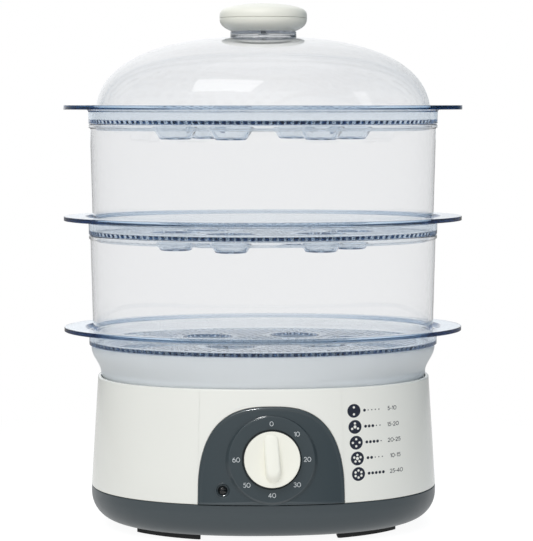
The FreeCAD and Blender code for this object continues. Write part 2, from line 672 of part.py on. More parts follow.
def terminal_block():
    """Three-way terminal block on the floor of the housing."""
    z0 = UNDER_Z + HOUSING_T + 0.05
    x0, y0 = TERMINAL_PLACE
    length, width, height = TERMINAL_SIZE
    body = block(x0, x0 + length, y0, y0 + width, z0, z0 + height)
    cells = []
    for i in range(3):
        x = x0 + 3 + TERMINAL_PITCH * i
        cells.append(block(x, x + TERMINAL_PITCH - 3, y0 + 4, y0 + width - 4, z0 + 4, z0 + height + 1))
    return body.cut(Part.makeCompound(cells))


# ---------------------------------------------------------------- drip tray and tiers


def drip_tray():
    """Translucent drip tray: flared wall, floor with a raised oval steam opening."""
    floor_z = LEDGE_Z + TANK_T + SEAT
    a_in, b_in = shell_size(SHELL_TOP_Z, -SHELL_T - DRIP_FIT)
    rim = (BOWL_A + DRIP_RIM_OUT, BOWL_B + DRIP_RIM_OUT)
    waist = (SHELL_TOP_A - DRIP_WAIST_IN, b_in - DRIP_FIT)
    waist_z = SHELL_TOP_Z + DRIP_WAIST_UP
    seat = [(a_in - DRIP_DRAFT, b_in - DRIP_DRAFT, floor_z), (a_in, b_in, waist_z)]
    lower = band(seat, DRIP_N)
    steps = 5
    wall = []
    for i in range(steps + 1):
        t = i / steps
        s = 0.5 - 0.5 * math.cos(math.pi * min(1.0, t * 1.08))
        wall.append((waist[0] + (rim[0] - waist[0]) * s, waist[1] + (rim[1] - waist[1]) * s,
                     waist_z + (DRIP_TOP_Z - waist_z) * t))
    upper = band(wall, smooth=True)
    outer = fused([lower, upper])
    hollow_low = band(grown([seat[0][:2] + (floor_z + DRIP_T,), waist + (waist_z,)], -DRIP_T - DRIP_FIT))
    hollow_up = band(grown(wall, -DRIP_T), smooth=True)
    mouth = band(grown([wall[-1], wall[-1][:2] + (DRIP_TOP_Z + 1,)], -DRIP_T))
    tray = outer.cut(hollow_low).cut(hollow_up).cut(mouth)
    top = floor_z + CHIMNEY_H
    chimney = [(CHIMNEY_A + DRIP_T, CHIMNEY_B + DRIP_T, floor_z), (CHIMNEY_A, CHIMNEY_B, top)]
    flue = grown([chimney[0][:2] + (floor_z - 1,), chimney[1][:2] + (top + 1,)], -DRIP_T)
    return fused([tray, band(chimney, y=CHIMNEY_Y)]).cut(band(flue, y=CHIMNEY_Y))


def brim(a):
    """Half depth of a tray's outline where its half length is a."""
    if a <= RECESS_A:
        return RECESS_B - (RECESS_A - a)
    return RECESS_B + (a - RECESS_A) * (FLANGE_B - RECESS_B) / (FLANGE_A - RECESS_A)


def cup_places():
    """Centres of the six egg cups: three and their point reflections."""
    return [(s * x, s * y) for s in (1, -1) for x, y in CUPS]


def steam_hole_places():
    """Staggered grid of steam holes inside the floor, clear of the cups and the edge."""
    a = LIP_A - LIP_T - HOLE_R - 3
    b = LIP_B - LIP_T - HOLE_R - 3
    places = []
    rows = int(b / (HOLE_PITCH * 0.866))
    for j in range(-rows, rows + 1):
        y = j * HOLE_PITCH * 0.866
        for i in range(-8, 9):
            x = (i + 0.5 * (j % 2)) * HOLE_PITCH
            if (x / a) ** 2 + (y / b) ** 2 > 1:
                continue
            if min(math.hypot(x - cx, y - cy) for cx, cy in cup_places()) > CUP_R + HOLE_R + 1.0:
                places.append((x, y))
    return places


def steam_tray(f):
    """Tray with a wide oval flange at height f, a recess, a perforated floor and egg cups."""
    half = FLANGE_T / 2
    flange = band([(FLANGE_A, FLANGE_B, f - half), (FLANGE_A, FLANGE_B, f + half)])
    flange = round_edges(flange, half * 0.9, lambda box: box.ZLength < 0.01)
    under = f - TRAY_UNDER
    flare = [(RECESS_A - 0.2, under), (RECESS_A, f - 10.5), (RECESS_A + 5.2, f - 5), (RECESS_A + 9, f - 2.2),
             (RECESS_A + 12.5, f - half + 0.2)]
    skirt = band([(a, brim(a), z) for a, z in flare])
    body = fused([flange, skirt])
    floor_z = f - RECESS_DEPTH
    wall_a = RECESS_A - RECESS_T
    inside = [(wall_a, floor_z), (wall_a + 0.6, f - 5.5), (wall_a + 4, f - 1.4),
              (wall_a + 8, f + half + 0.01)]
    recess = band([(a, brim(a), z) for a, z in inside])
    body = body.cut(recess)
    lip = [(LIP_A, LIP_B, under - LIP_H), (LIP_A, LIP_B, under + 0.5)]
    skirting = band(lip).cut(band([(a, b, z * 1.01 - 2) for a, b, z in grown(lip, -LIP_T)]))
    cups = []
    bores = []
    slope = (CUP_R - CUP_BOTTOM_R) / CUP_DEPTH
    low = floor_z - CUP_DEPTH
    for x, y in cup_places():
        cups.append(cone(CUP_BOTTOM_R, CUP_R - slope * 0.5, low, floor_z - 0.5, x, y))
        bore_r = CUP_R - CUP_T + slope * (1 - CUP_T)
        bores.append(cone(CUP_BOTTOM_R - CUP_T, bore_r, low + CUP_T, floor_z + 1, x, y))
        bores.append(cylinder(CUP_DRAIN_R, low - 1, low + 3, x, y))
    body = fused([body, skirting] + cups)
    turns = [k * math.pi / 3 for k in range(7)]
    corners = [V(HOLE_R * math.cos(t), HOLE_R * math.sin(t), under - 1) for t in turns]
    hole = Part.Face(Part.makePolygon(corners)).extrude(V(0, 0, FLOOR_T + 2))
    bores += [hole.translated(V(x, y, 0)) for x, y in steam_hole_places()]
    return body.cut(Part.makeCompound(bores))


def food_bowl(f):
    """Clear drafted oval ring between the tray at height f and the next one."""
    z0 = f - RECESS_DEPTH + SEAT
    z1 = f + PITCH - TRAY_UNDER - SEAT
    wall = [(BOWL_A - BOWL_DRAFT, BOWL_B - BOWL_DRAFT, z0), (BOWL_A, BOWL_B, z1)]
    rim = (BOWL_A + BEAD_W, BOWL_B + BEAD_W)
    bead = band([rim + (z1 - BEAD_H,), rim + (z1,)])
    bead = round_edges(bead, BEAD_H * 0.4, lambda box: box.ZLength < 0.01)
    step = BOWL_DRAFT / (z1 - z0)
    inner = [(wall[0][0] - step, wall[0][1] - step, z0 - 1), (wall[1][0] + step, wall[1][1] + step, z1 + 1)]
    return fused([band(wall), bead]).cut(band(grown(inner, -BOWL_T)))


def dome(a, b, h):
    """Solid half dome on an oval foot: a quarter of |x/a|^n + |z/h|^n = 1, turned and stretched."""
    points = []
    steps = 10
    for i in range(steps + 1):
        t = math.pi / 2 * i / steps
        points.append(V(a * max(0.0, math.cos(t)) ** (2 / LID_N), 0, LID_Z + h * math.sin(t) ** (2 / LID_N)))
    points[-1] = V(0, 0, LID_Z + h)
    curve = Part.BSplineCurve()
    curve.interpolate(points)
    solid = turned([curve.toShape(), line((0, LID_Z + h), (0, LID_Z)), line((0, LID_Z), (a, LID_Z))])
    stretch = FreeCAD.Matrix()
    stretch.A22 = b / a
    return solid.transformGeometry(stretch)


def dome_height(a, h, x):
    """Height above the dome's foot of its outline at distance x from the axis."""
    return h * (1 - (x / a) ** LID_N) ** (1 / LID_N)


def lid_dome():
    """Clear dome with a short round neck for its knob."""
    inner_a = LID_A - BOWL_T
    inner_b = LID_B - BOWL_T
    top = neck_top() - NECK_H
    foot = band([(inner_a, inner_b, LID_Z - 1), (inner_a, inner_b, LID_Z + 0.01)])
    neck = cylinder(NECK_R, top - 3, neck_top())
    hollow = cylinder(NECK_R - BOWL_T - NECK_RIM, top - 12, neck_top() - BOWL_T)
    hole = cylinder(LID_SCREW_R + FIT, top, neck_top() + 1)
    shell = fused([dome(LID_A, LID_B, LID_H), neck]).cut(dome(inner_a, inner_b, LID_H - BOWL_T))
    return shell.cut(foot).cut(hollow).cut(hole)


def neck_top():
    """Height of the neck's top face."""
    return LID_Z + dome_height(LID_A, LID_H, NECK_R) + NECK_H


def knob_half(r, z, h, round_r, crown):
    """Solid half of the lid knob: crowned end at z, rounded edge, flat open side at z + h."""
    s = math.copysign(1, h)
    shoulder = z + s * crown
    k = round_r * (1 - math.sqrt(0.5))
    x = r - round_r
    end = line((0, z), (x, z))
    if crown > 0:
        end = arc((0, z), (x / 2, z + s * crown * 0.25), (x, shoulder))
    return turned([end, arc((x, shoulder), (r - k, shoulder + s * k), (r, shoulder + s * round_r)),
                   line((r, shoulder + s * round_r), (r, z + h)), line((r, z + h), (0, z + h)),
                   line((0, z + h), (0, z))])


def knob_low():
    """Height of the lid knob's lower face."""
    return neck_top() + 0.05


def lid_knob_base():
    """Lower half of the lid knob: a cup with a threaded boss."""
    z0 = knob_low()
    wall = LID_KNOB_T
    cup = knob_half(LID_KNOB_R, z0, LID_BASE_H, LID_BASE_ROUND, 0)
    hollow = knob_half(LID_KNOB_R - wall, z0 + wall, LID_BASE_H, LID_BASE_ROUND - wall, 0)
    boss = cylinder(LID_BOSS_R, z0 + 1, z0 + LID_BASE_H)
    drill = cylinder(LID_SCREW_R + 0.05, z0 - 1, z0 + LID_SCREW_L)
    return fused([cup.cut(hollow), boss]).cut(drill)


def lid_knob_cap():
    """Upper half of the lid knob, with a spigot that snaps into the base."""
    wall = LID_KNOB_T
    seam = knob_low() + LID_BASE_H + LID_KNOB_GAP
    top = seam + LID_CAP_H
    cap = knob_half(LID_KNOB_R, top, -LID_CAP_H, LID_CAP_ROUND, LID_CAP_CROWN)
    hollow = knob_half(LID_KNOB_R - wall, top - wall, -LID_CAP_H, LID_CAP_ROUND - wall, LID_CAP_CROWN)
    r = LID_KNOB_R - wall - FIT
    bore = cylinder(r - 1.8, seam - 3, seam + 2)
    spigot = cylinder(r, seam - 2.5, seam + 1).cut(bore)
    link = cylinder(r + 1, seam + 0.05, seam + 1).cut(bore)
    return fused([cap.cut(hollow), link, spigot])


def lid_screw():
    """Pan-head screw from inside the dome's neck up into the knob."""
    seat = neck_top() - BOWL_T
    head = cylinder(LID_SCREW_R * 2, seat - 2.4, seat - 0.05)
    head = round_edges(head, 1.2, level_edges(seat - 2.4))
    stem = cylinder(LID_SCREW_R, seat - 0.5, seat + LID_SCREW_L)
    return head.fuse(stem)


# ---------------------------------------------------------------- assembly


def build():
    """All pieces by node name, round the tower's axis."""
    nodes = {}
    for sy, end in ((-1, "front"), (1, "rear")):
        for sx, side in ((-1, "left"), (1, "right")):
            nodes["foot_" + end + "_" + side] = foot(sx, sy)
    for piece in (lower_housing, outer_shell, control_panel, cord_gland, base_screws, timer_plate,
                  timer_screws, timer_case, timer_bell, timer_shaft, timer_knob, indicator_lens,
                  indicator_lamp, water_tank, heater_gasket, heating_plate, heating_element, heater_bracket,
                  heater_screws, thermostat, thermal_fuse, terminal_block, drip_tray, lid_dome,
                  lid_knob_base, lid_knob_cap, lid_screw):
        nodes[piece.__name__] = piece()
    tray = steam_tray(0)
    bowl = food_bowl(0)
    tiers = ("lower", "middle", "upper")
    for i in range(TIERS):
        lift = V(0, 0, TRAY_Z + i * PITCH)
        nodes["steam_tray_" + tiers[i]] = tray.translated(lift)
        if i < TIERS - 1:
            nodes["food_bowl_" + tiers[i]] = bowl.translated(lift)
    return nodes


def main():
    os.makedirs("parts", exist_ok=True)
    nodes = build()
    front = min(nodes["timer_knob"].optimalBoundingBox(False, False).YMin, -FLANGE_B)
    back = max(nodes["cord_gland"].optimalBoundingBox(False, False).YMax, FLANGE_B)
    shift = V(0, -(front + back) / 2, 0)
    print("moved along Y by %.3f mm" % shift.y)
    for name in sorted(nodes):
        shape = nodes[name].translated(shift)
        box = shape.BoundBox
        print("%-20s solids %d valid %s volume %.1f box %.1f %.1f %.1f  %.1f %.1f %.1f" % (
            name, len(shape.Solids), shape.isValid(), shape.Volume, box.XMin, box.YMin, box.ZMin,
            box.XMax, box.YMax, box.ZMax))
        shape.exportStep("parts/" + name + ".step")


main()
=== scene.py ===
"""Looks of an electric food steamer with three stacked tiers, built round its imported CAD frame.

Lengths are in metres. Shapes are worked out round the tower's own upright axis and then moved
along Y by AXIS_Y, to where the frame has that axis.
"""

import json
import math

import bmesh
import bpy
import numpy as np
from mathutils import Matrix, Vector
from mathutils.geometry import delaunay_2d_cdt


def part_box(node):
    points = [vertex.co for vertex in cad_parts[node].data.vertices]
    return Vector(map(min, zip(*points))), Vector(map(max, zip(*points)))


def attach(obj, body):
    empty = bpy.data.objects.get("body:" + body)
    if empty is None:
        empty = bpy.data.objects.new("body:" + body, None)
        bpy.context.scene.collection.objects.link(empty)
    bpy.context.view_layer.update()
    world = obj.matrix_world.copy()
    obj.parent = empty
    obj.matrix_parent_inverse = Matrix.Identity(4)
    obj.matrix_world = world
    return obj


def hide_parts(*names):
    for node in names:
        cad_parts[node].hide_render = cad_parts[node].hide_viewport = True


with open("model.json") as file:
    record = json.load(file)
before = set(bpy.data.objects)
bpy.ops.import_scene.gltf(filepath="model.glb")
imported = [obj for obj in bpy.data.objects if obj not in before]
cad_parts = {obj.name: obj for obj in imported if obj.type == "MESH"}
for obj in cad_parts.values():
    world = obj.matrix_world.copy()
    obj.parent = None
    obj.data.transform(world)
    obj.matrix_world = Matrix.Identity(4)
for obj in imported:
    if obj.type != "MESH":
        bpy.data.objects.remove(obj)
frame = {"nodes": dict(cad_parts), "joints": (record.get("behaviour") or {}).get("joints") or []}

bl_info = {
    "name": "Food steamer",
    "version": (1, 0, 0),
    "blender": (4, 5, 0),
    "location": "3D View > Sidebar > Steamer",
    "description": "Builds the visible pieces, finishes and studio of a three-tier food steamer",
    "category": "Object",
}

MM = 0.001

# ---------------------------------------------------------------- places read from the frame

BOX = {name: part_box(name) for name in frame["nodes"]}


def middle(name):
    """Centre of a node's box."""
    return np.mean(BOX[name], axis=0)


AXIS_Y = float(middle("lid_dome")[1])
JOINT = next(j for j in frame["joints"] if j["name"] == "timer_turn")
DIAL_AT = np.array(JOINT["pos_m"]) - (0, AXIS_Y, 0)
DIAL_OUT = -np.array(JOINT["axis"])
DIAL_UP = np.array((0, DIAL_OUT[2], -DIAL_OUT[1]))
TIERS = ("lower", "middle", "upper")


def half_x(name):
    """Half of a node's length."""
    return (BOX[name][1].x - BOX[name][0].x) / 2


def half_y(name):
    """Half of a node's depth."""
    return (BOX[name][1].y - BOX[name][0].y) / 2


def low_z(name):
    """Height of a node's lowest point."""
    return BOX[name][0].z


def high_z(name):
    """Height of a node's highest point."""
    return BOX[name][1].z


# ---------------------------------------------------------------- sizes and colours


def linear(code):
    """Linear red, green, blue and alpha of an sRGB hex colour."""
    srgb = np.array([int(code[i:i + 2], 16) / 255 for i in (1, 3, 5)])
    value = np.where(srgb <= 0.04045, srgb / 12.92, ((srgb + 0.055) / 1.055) ** 2.4)
    return tuple(float(v) for v in value) + (1.0,)


def length(name, description, size):
    """Property for a length given in metres."""
    return bpy.props.FloatProperty(
        name=name, description=description, default=float(size), unit="LENGTH", precision=5)


def ratio(name, description, value):
    """Property for a plain number."""
    return bpy.props.FloatProperty(name=name, description=description, default=value, precision=3)


def colour(name, description, code):
    """Property for a colour, from its sRGB hex value."""
    return bpy.props.FloatVectorProperty(
        name=name, description=description, default=linear(code), size=4, subtype="COLOR",
        min=0, max=1)


class BaseSizes(bpy.types.PropertyGroup):
    """Sizes of the housing, the shell, the panel and the timer's knob."""

    squareness: ratio("Squareness", "Exponent of the base's outline, 2 being an ellipse", 2.25)
    parting_gap: length("Parting gap", "Shadow gap between housing and shell", 0.4 * MM)
    shell_top_a: length("Shell top, half length", "Half length of the shell at its top edge", 124.8 * MM)
    shell_top_b: length("Shell top, half depth", "Half depth of the shell at its top edge", 99 * MM)
    shell_wall: length("Shell wall", "Thickness of the shell", 2.4 * MM)
    shell_edge: length("Shell edge", "Rounding of the shell's top edge", 1.1 * MM)
    ledge_z: length("Ledge height", "Top of the ledge that carries the water tank", 104 * MM)
    ledge_width: length("Ledge width", "Width of that ledge", 4 * MM)
    housing_wall: length("Housing wall", "Thickness of the lower housing", 2.5 * MM)
    housing_round: length("Housing round", "Radius of the housing's bottom edge", 20 * MM)
    vent_width: length("Vent width", "Width of a cooling slot", 3 * MM)
    vent_length: length("Vent length", "Length of a cooling slot", 26 * MM)
    vent_pitch: length("Vent pitch", "Spacing of the cooling slots", 7.2 * MM)
    arch_a: length("Arch, half width", "Half width of the panel at its foot", 52.8 * MM)
    arch_h: length("Arch height", "Height of the panel", 69.4 * MM)
    arch_n: ratio("Arch squareness", "Exponent of the panel's arch", 2.7)
    panel_proud: length("Panel stands out", "How far the panel stands out of the shell", 1.0 * MM)
    panel_edge: length("Panel edge", "Radius of the panel's rounded edge", 1.3 * MM)
    dial_r: length("Dial radius", "Radius of the raised round dial", 30.7 * MM)
    dial_h: length("Dial height", "Height of the dial above the panel's centre", 1.6 * MM)
    dial_flare: length("Dial flare", "Widening of the dial's edge towards the panel", 3.0 * MM)
    dial_droop: length("Dial droop", "How far the flare's foot lies below the dial's centre", 1.2 * MM)
    knob_clear: length("Knob clearance", "Gap between the knob and its pocket", 1.3 * MM)
    pocket_depth: length("Pocket depth", "Depth of the knob's pocket", 3.6 * MM)
    knob_r: length("Knob radius", "Radius of the timer knob", 20 * MM)
    knob_face: length("Knob face", "Height of the knob's rim above the dial", 6.0 * MM)
    knob_scoop: length("Knob scoop", "How far the knob's face dips in its middle", 1.3 * MM)
    grip_width: length("Grip width", "Width of the grip bar", 10.7 * MM)
    grip_height: length("Grip height", "Height of the grip bar's low end above the rim", 7.4 * MM)
    grip_ramp: length("Grip ramp", "Length of the slope at the grip bar's low end", 6.0 * MM)
    grip_lean: ratio("Grip lean", "Turn of the grip bar away from straight up, in degrees", 3.2)
    figure_r: length("Figure radius", "Radius of the circle of figures on the dial", 25.5 * MM)
    figure_height: length("Figure height", "Height of those figures", 3.05 * MM)
    figure_weight: ratio("Figure weight", "Width of a figure's strokes, as a share of its height", 0.128)
    chart_height: length("Chart figures", "Height of the chart's numbers", 2.6 * MM)
    lamp_x: length("Lamp, across", "Place of the lamp across the panel", -35 * MM)
    lamp_z: length("Lamp, up", "Height of the lamp", 40.5 * MM)
    lamp_r: length("Lamp radius", "Radius of the lamp's lens", 3.3 * MM)
    ink: length("Ink", "Thickness of printed ink", 0.05 * MM)


class TierSizes(bpy.types.PropertyGroup):
    """Sizes of the drip tray, the steam trays and the food bowls."""

    wall: length("Wall", "Thickness of the lid, and of the packed bowls", 2.0 * MM)
    bowl_wall: length("Bowl wall", "Thickness of a bowl's wall", 2.4 * MM)
    bowl_out: length("Bowl outwards", "How far a bowl's wall stands outside the packed one", 2.2 * MM)
    bowl_draft: length("Bowl draft", "How much smaller a bowl is at its foot, each side", 2.0 * MM)
    bead_width: length("Bead width", "How far the bead stands out of the bowl", 3.2 * MM)
    bead_height: length("Bead height", "Height of the bead", 3.0 * MM)
    flange_thick: length("Flange thickness", "Thickness of the tray's flange", 3.2 * MM)
    rim_round: length("Rim round", "Rounding of the flange's outer edges", 0.3 * MM)
    wall_fillet: length("Wall fillet", "Rounding between the tray's wall and its flange", 1.8 * MM)
    floor_depth: length("Floor depth", "From the flange's middle to the tray's floor", 9.5 * MM)
    floor_thick: length("Floor thickness", "Thickness of the tray's floor", 2.5 * MM)
    recess_gap: length("Recess gap", "From the bowl's top edge to the recess's outside", 3.5 * MM)
    lip_height: length("Lip height", "Height of the locating lip under the tray", 5.0 * MM)
    lip_thick: length("Lip thickness", "Thickness of that lip", 1.8 * MM)
    lip_fit: length("Lip fit", "Gap between the lip and the bowl below", 0.6 * MM)
    cup_r: length("Egg cup radius", "Outer radius of an egg cup at the floor", 21 * MM)
    cup_foot_r: length("Egg cup foot", "Outer radius of an egg cup at its bottom", 11.5 * MM)
    cup_depth: length("Egg cup depth", "Depth of an egg cup below the floor", 14.5 * MM)
    cup_wall: length("Egg cup wall", "Thickness of an egg cup", 1.6 * MM)
    hole_r: length("Steam hole radius", "Radius of a steam hole", 1.7 * MM)
    hole_pitch: length("Steam hole pitch", "Spacing of the steam holes", 6.6 * MM)
    pocket_pitch: length("Pocket pitch", "Spacing of the pockets along the floor's edge", 5.2 * MM)
    pocket_width: length("Pocket width", "Width of the widest such pocket", 3.2 * MM)
    pocket_length: length("Pocket length", "Length of such a pocket, towards the middle", 4.2 * MM)
    pocket_depth: length("Pocket depth", "Depth of such a pocket", 2.2 * MM)
    drip_wall: length("Drip tray wall", "Thickness of the drip tray", 2.0 * MM)
    drip_waist: length("Drip tray waist", "Height of its waist above the shell", 2.0 * MM)
    flue_a: length("Flue, half length", "Half length of the steam opening", 46 * MM)
    flue_b: length("Flue, half depth", "Half depth of the steam opening", 26 * MM)
    flue_h: length("Flue height", "Height of the steam opening's wall", 9 * MM)
    flue_y: length("Flue place", "Distance of the steam opening behind the tower's axis", 9 * MM)


class LidSizes(bpy.types.PropertyGroup):
    """Sizes of the lid and its knob."""

    height: length("Dome height", "Height of the dome above its foot", 62.2 * MM)
    squareness: ratio("Dome squareness", "Exponent of the dome's outline", 2.45)
    neck_r: length("Neck radius", "Radius of the neck under the knob", 24.8 * MM)
    neck_rim: length("Neck rim", "Width of the flat rim inside the neck", 1.5 * MM)
    knob_seam: length("Knob seam", "Height of the seam above the knob's underside", 9.9 * MM)
    knob_taper: ratio("Knob taper", "How much narrower the knob is at its underside", 0.28)
    knob_round: ratio("Knob roundness", "Exponent of the knob's cap across its radius", 1.6)
    knob_crown: ratio("Knob crown", "Exponent of the knob's cap along its height", 3.85)
    knob_wall: length("Knob wall", "Thickness of the knob's halves", 2.5 * MM)
    screw_r: length("Screw radius", "Radius of the knob's screw", 2.0 * MM)


class Colours(bpy.types.PropertyGroup):
    """Colours of the plastics and inks."""

    shell: colour("Shell", "Warm white of the shell", "#f2f1ea")
    slate: colour("Slate", "Dark grey of housing and panel", "#40494d")
    knob: colour("Knobs", "Ivory of both knobs", "#f8f6ea")
    frost: colour("Drip tray", "Milky body of the drip tray", "#f2f5f6")
    tank: colour("Tank", "White of the water tank", "#e8e9e6")
    bowl_tint: colour("Bowl tint", "Colour that thick clear plastic takes on", "#b4bac2")
    tray_tint: colour("Tray tint", "Blue of the tinted trays seen through their length", "#0095c8")
    figures: colour("Figures", "Light ink of the dial's figures", "#d3d7d9")
    chart: colour("Chart", "Dark ink of the chart", "#1c2233")


class StudioSettings(bpy.types.PropertyGroup):
    """Camera and lights."""

    azimuth: bpy.props.FloatProperty(
        name="Azimuth", description="Turn of the camera round the tower",
        default=math.radians(-3.3), subtype="ANGLE")
    pitch: bpy.props.FloatProperty(
        name="Pitch", description="How far the camera looks down",
        default=math.radians(4.167), subtype="ANGLE")
    distance: length("Distance", "From the tower's axis to the camera", 1.760)
    sideways: length("Sideways", "Small step of the camera to its right", 2.4 * MM)
    height: length("Height", "Height of the camera", 318.4 * MM)
    lens: ratio("Lens", "Focal length in millimetres on a 36 mm sensor", 155.4)
    key: ratio("Key light", "Power of the soft light at the upper left, in watts", 7.0)
    top: ratio("Top light", "Power of the overhead soft light, in watts", 1.5)
    fill: ratio("Fill light", "Power of the soft light at the right, in watts", 1.5)
    spark: ratio("Spark", "Power of the small light that only panel and lamp take, in watts", 30.0)
    walls: ratio("Walls", "Brightness of the studio's walls in reflections", 1.25)
    matt_walls: ratio("Matt walls", "Brightness of the studio's walls on matt surfaces", 1.70)
    # Glow of the floor close to the object as the camera sees it: a painted shadow, the floor being
    # white further out.
    painted_floor_shadow: ratio("Floor near", "Glow of the floor round the object, as the camera sees it", 0.93)
    floor_light: ratio("Floor light", "Light from the floor within 0.7 m, in reflections", 0.72)
    floor_far: ratio("Floor far", "Light from the floor beyond 1.4 m, in reflections", 0.30)
    floor_shade: ratio("Floor shade", "Light from the floor near the object, on matt surfaces", 0.62)
    floor_soft: ratio("Floor soft", "Light from the rest of the floor, on matt surfaces", 1.40)


# ---------------------------------------------------------------- surfaces


def rounded(corners, steps=5, support=0.35 * MM):
    """Outline through corners of (across, up, radius).

    At each inner corner an arc of that radius touches both sides. Its points are the spherical
    interpolation between the radii to its two ends, and one more point on each straight side,
    a short way off, keeps the flat part flat in shading. The two ends stay as they are."""
    # Largest shares of a side that a cut and its support point may take, and half the angle in
    # radians from which a corner counts as straight.
    longest_cut, longest_reach, straight = 0.45, 0.49, 1.56
    corners = np.asarray(corners, float)
    path = [corners[:1, :2]]
    for before, (x, z, radius), after in zip(corners, corners[1:-1], corners[2:]):
        p = np.array((x, z))
        u, v = before[:2] - p, after[:2] - p
        to_u, to_v = np.hypot(*u), np.hypot(*v)
        u, v = u / to_u, v / to_v
        half = 0.5 * math.acos(max(-1.0, min(1.0, float(u @ v))))
        if radius <= 0 or half > straight:
            path.append(p[None])
            continue
        cut = min(radius / math.tan(half), longest_cut * to_u, longest_cut * to_v)
        radius = cut * math.tan(half)
        centre = p + (u + v) / np.hypot(*(u + v)) * radius / math.sin(half)
        start, end = p + u * cut - centre, p + v * cut - centre
        turn = math.pi - 2 * half
        k = np.linspace(0, 1, steps + 1)[:, None]
        arc = centre + (np.sin((1 - k) * turn) * start + np.sin(k * turn) * end) / math.sin(turn)
        near_u = p + u * min(cut + support, longest_reach * to_u)
        near_v = p + v * min(cut + support, longest_reach * to_v)
        path += [near_u[None], arc, near_v[None]]
    path.append(corners[-1:, :2])
    return np.concatenate(path)


def squared(t, n):
    """Points u = r cos t and v = r sin t of the outline |u|^n + |v|^n = 1.

    At angle t its radius is r = (|cos t|^n + |sin t|^n)^(-1/n)."""
    c, s = np.cos(t), np.sin(t)
    r = (np.abs(c) ** n + np.abs(s) ** n) ** (-1 / n)
    return r * c, r * s


def ovals(rows, columns=288, n=2.0):
    """Grid of stacked ovals from rows of (half length, half depth, height, centre's y).

    An oval of exponent n has x = a u and y = centre + b v, with (u, v) on its unit outline."""
    a, b, z, y = np.asarray(rows, float).T[:, :, None]
    n = np.broadcast_to(np.asarray(n, float), (len(rows),))[:, None]
    u, v = squared(np.linspace(0, 2 * math.pi, columns, endpoint=False), n)
    return np.stack([a * u, y + b * v, z + 0 * u], -1)


def lathe(profile, columns):
    """Grid of circles from (radius, height) points: x = r cos t, y = r sin t."""
    r, w = np.asarray(profile, float).T
    return ovals(np.stack([r, r, w, 0 * r], 1), columns)


def skin(grid, ring=False):
    """Points and four-sided faces of a grid whose last column joins the first.

    Face (i, j) joins points (i, j), (i, j+1), (i+1, j+1) and (i+1, j), so it faces outwards where
    columns run anticlockwise and rows run up. ring joins the last row to the first as well."""
    rows, columns = grid.shape[:2]
    index = np.arange(rows * columns).reshape(rows, columns)
    index = np.concatenate([index, index[:, :1]], 1)
    if ring:
        index = np.concatenate([index, index[:1]], 0)
    quads = np.stack([index[:-1, :-1], index[:-1, 1:], index[1:, 1:], index[1:, :-1]], -1)
    return grid.reshape(-1, 3), quads.reshape(-1, 4).tolist()


def sheet(rim, holes, z, up=True):
    """Flat face at height z inside a rim loop, without the holes.

    rim and holes are loops of (x, y), anticlockwise. The face is the constrained Delaunay
    triangulation of all loops, worked out in millimetres to a hundred thousandth, less the
    triangles that lie inside a hole."""
    starts = np.cumsum([len(rim)] + [len(loop) for loop in holes])
    edges = [(i, (i + 1) % len(rim)) for i in range(len(rim))]
    insides = [list(range(start, start + len(loop))) for start, loop in zip(starts, holes)]
    flat = np.concatenate([rim, *holes])
    points, _, faces, _, _, sources = delaunay_2d_cdt(
        [Vector(p) for p in (flat / MM).tolist()], edges, insides, 0, 1e-5, True)
    xy = np.array([tuple(p) for p in points]) * MM
    kept = np.array([f for f, source in zip(faces, sources) if not source])
    first, second, third = (xy[kept[:, k]] for k in range(3))
    wrong = (np.cross(second - first, third - first) > 0) != up
    kept[wrong] = kept[wrong][:, ::-1]
    return np.column_stack([xy, np.full(len(xy), z)]), kept.tolist()


def well(loop, high, low, foot=None):
    """Walls of a hole from height `high` down to `low`, with a floor if a foot loop is given."""
    rows = ((loop, high), (loop if foot is None else foot, low))
    points, faces = skin(
        np.stack([np.column_stack([row, np.full(len(row), z)]) for row, z in rows]))
    if foot is not None:
        faces.append(list(range(len(loop), 2 * len(loop))))
    return points, faces


def circle(x, y, r, count):
    """Loop of a circle: x + r cos t, y + r sin t."""
    t = np.linspace(0, 2 * math.pi, count, endpoint=False)
    return np.column_stack([x + r * np.cos(t), y + r * np.sin(t)])


def stadium(x, y, width, long, count=6):
    """Loop of a slot along Y: two half circles whose centres are (long - width) / 2 from its middle."""
    t = np.linspace(0, math.pi, count)
    c, s = width / 2 * np.cos(t), width / 2 * np.sin(t)
    step = (long - width) / 2
    return np.column_stack([np.append(x + c, x - c), np.append(y + step + s, y - step - s)])


def turned_to(points, origin, across, up, out):
    """Points (u, v, w) of a small frame set in space: origin + u across + v up + w out."""
    return np.asarray(origin) + points @ np.array((across, up, out), float)


def on_dial(points, at=DIAL_AT):
    """Points of a frame that lies as the dial does, w straight out of the panel, set in space."""
    return turned_to(points, at, (1, 0, 0), DIAL_UP, DIAL_OUT)


def piece(name, parts, finish, body, slot, *nodes, crease=35):
    """Object out of (points, faces) parts that share their edges, riding on a body.

    Points closer than a thousandth of a millimetre become one. Edges sharper than the crease
    angle stay sharp."""
    points = np.concatenate([p for p, _ in parts])
    starts = np.cumsum([0] + [len(p) for p, _ in parts])
    faces = [[i + start for i in face]
             for (_, group), start in zip(parts, starts) for face in group]
    mesh = bpy.data.meshes.new(name)
    mesh.from_pydata((points + (0, AXIS_Y, 0)).tolist(), [], faces)
    merged = bmesh.new()
    merged.from_mesh(mesh)
    bmesh.ops.remove_doubles(merged, verts=merged.verts, dist=1e-6)
    merged.to_mesh(mesh)
    merged.free()
    mesh.shade_smooth()
    mesh.set_sharp_from_angle(angle=math.radians(crease))
    mesh.materials.append(finish)
    thing = bpy.data.objects.new(name, mesh)
    bpy.context.scene.collection.objects.link(thing)
    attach(thing, body)
    if nodes:
        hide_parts(*nodes)


def bend(x, y, across, up, start, end, count=14):
    """Points x + across cos t, y + up sin t, for t from start to end in degrees."""
    t = np.radians(np.linspace(start, end, count))
    return np.column_stack([x + across * np.cos(t), y + up * np.sin(t)])


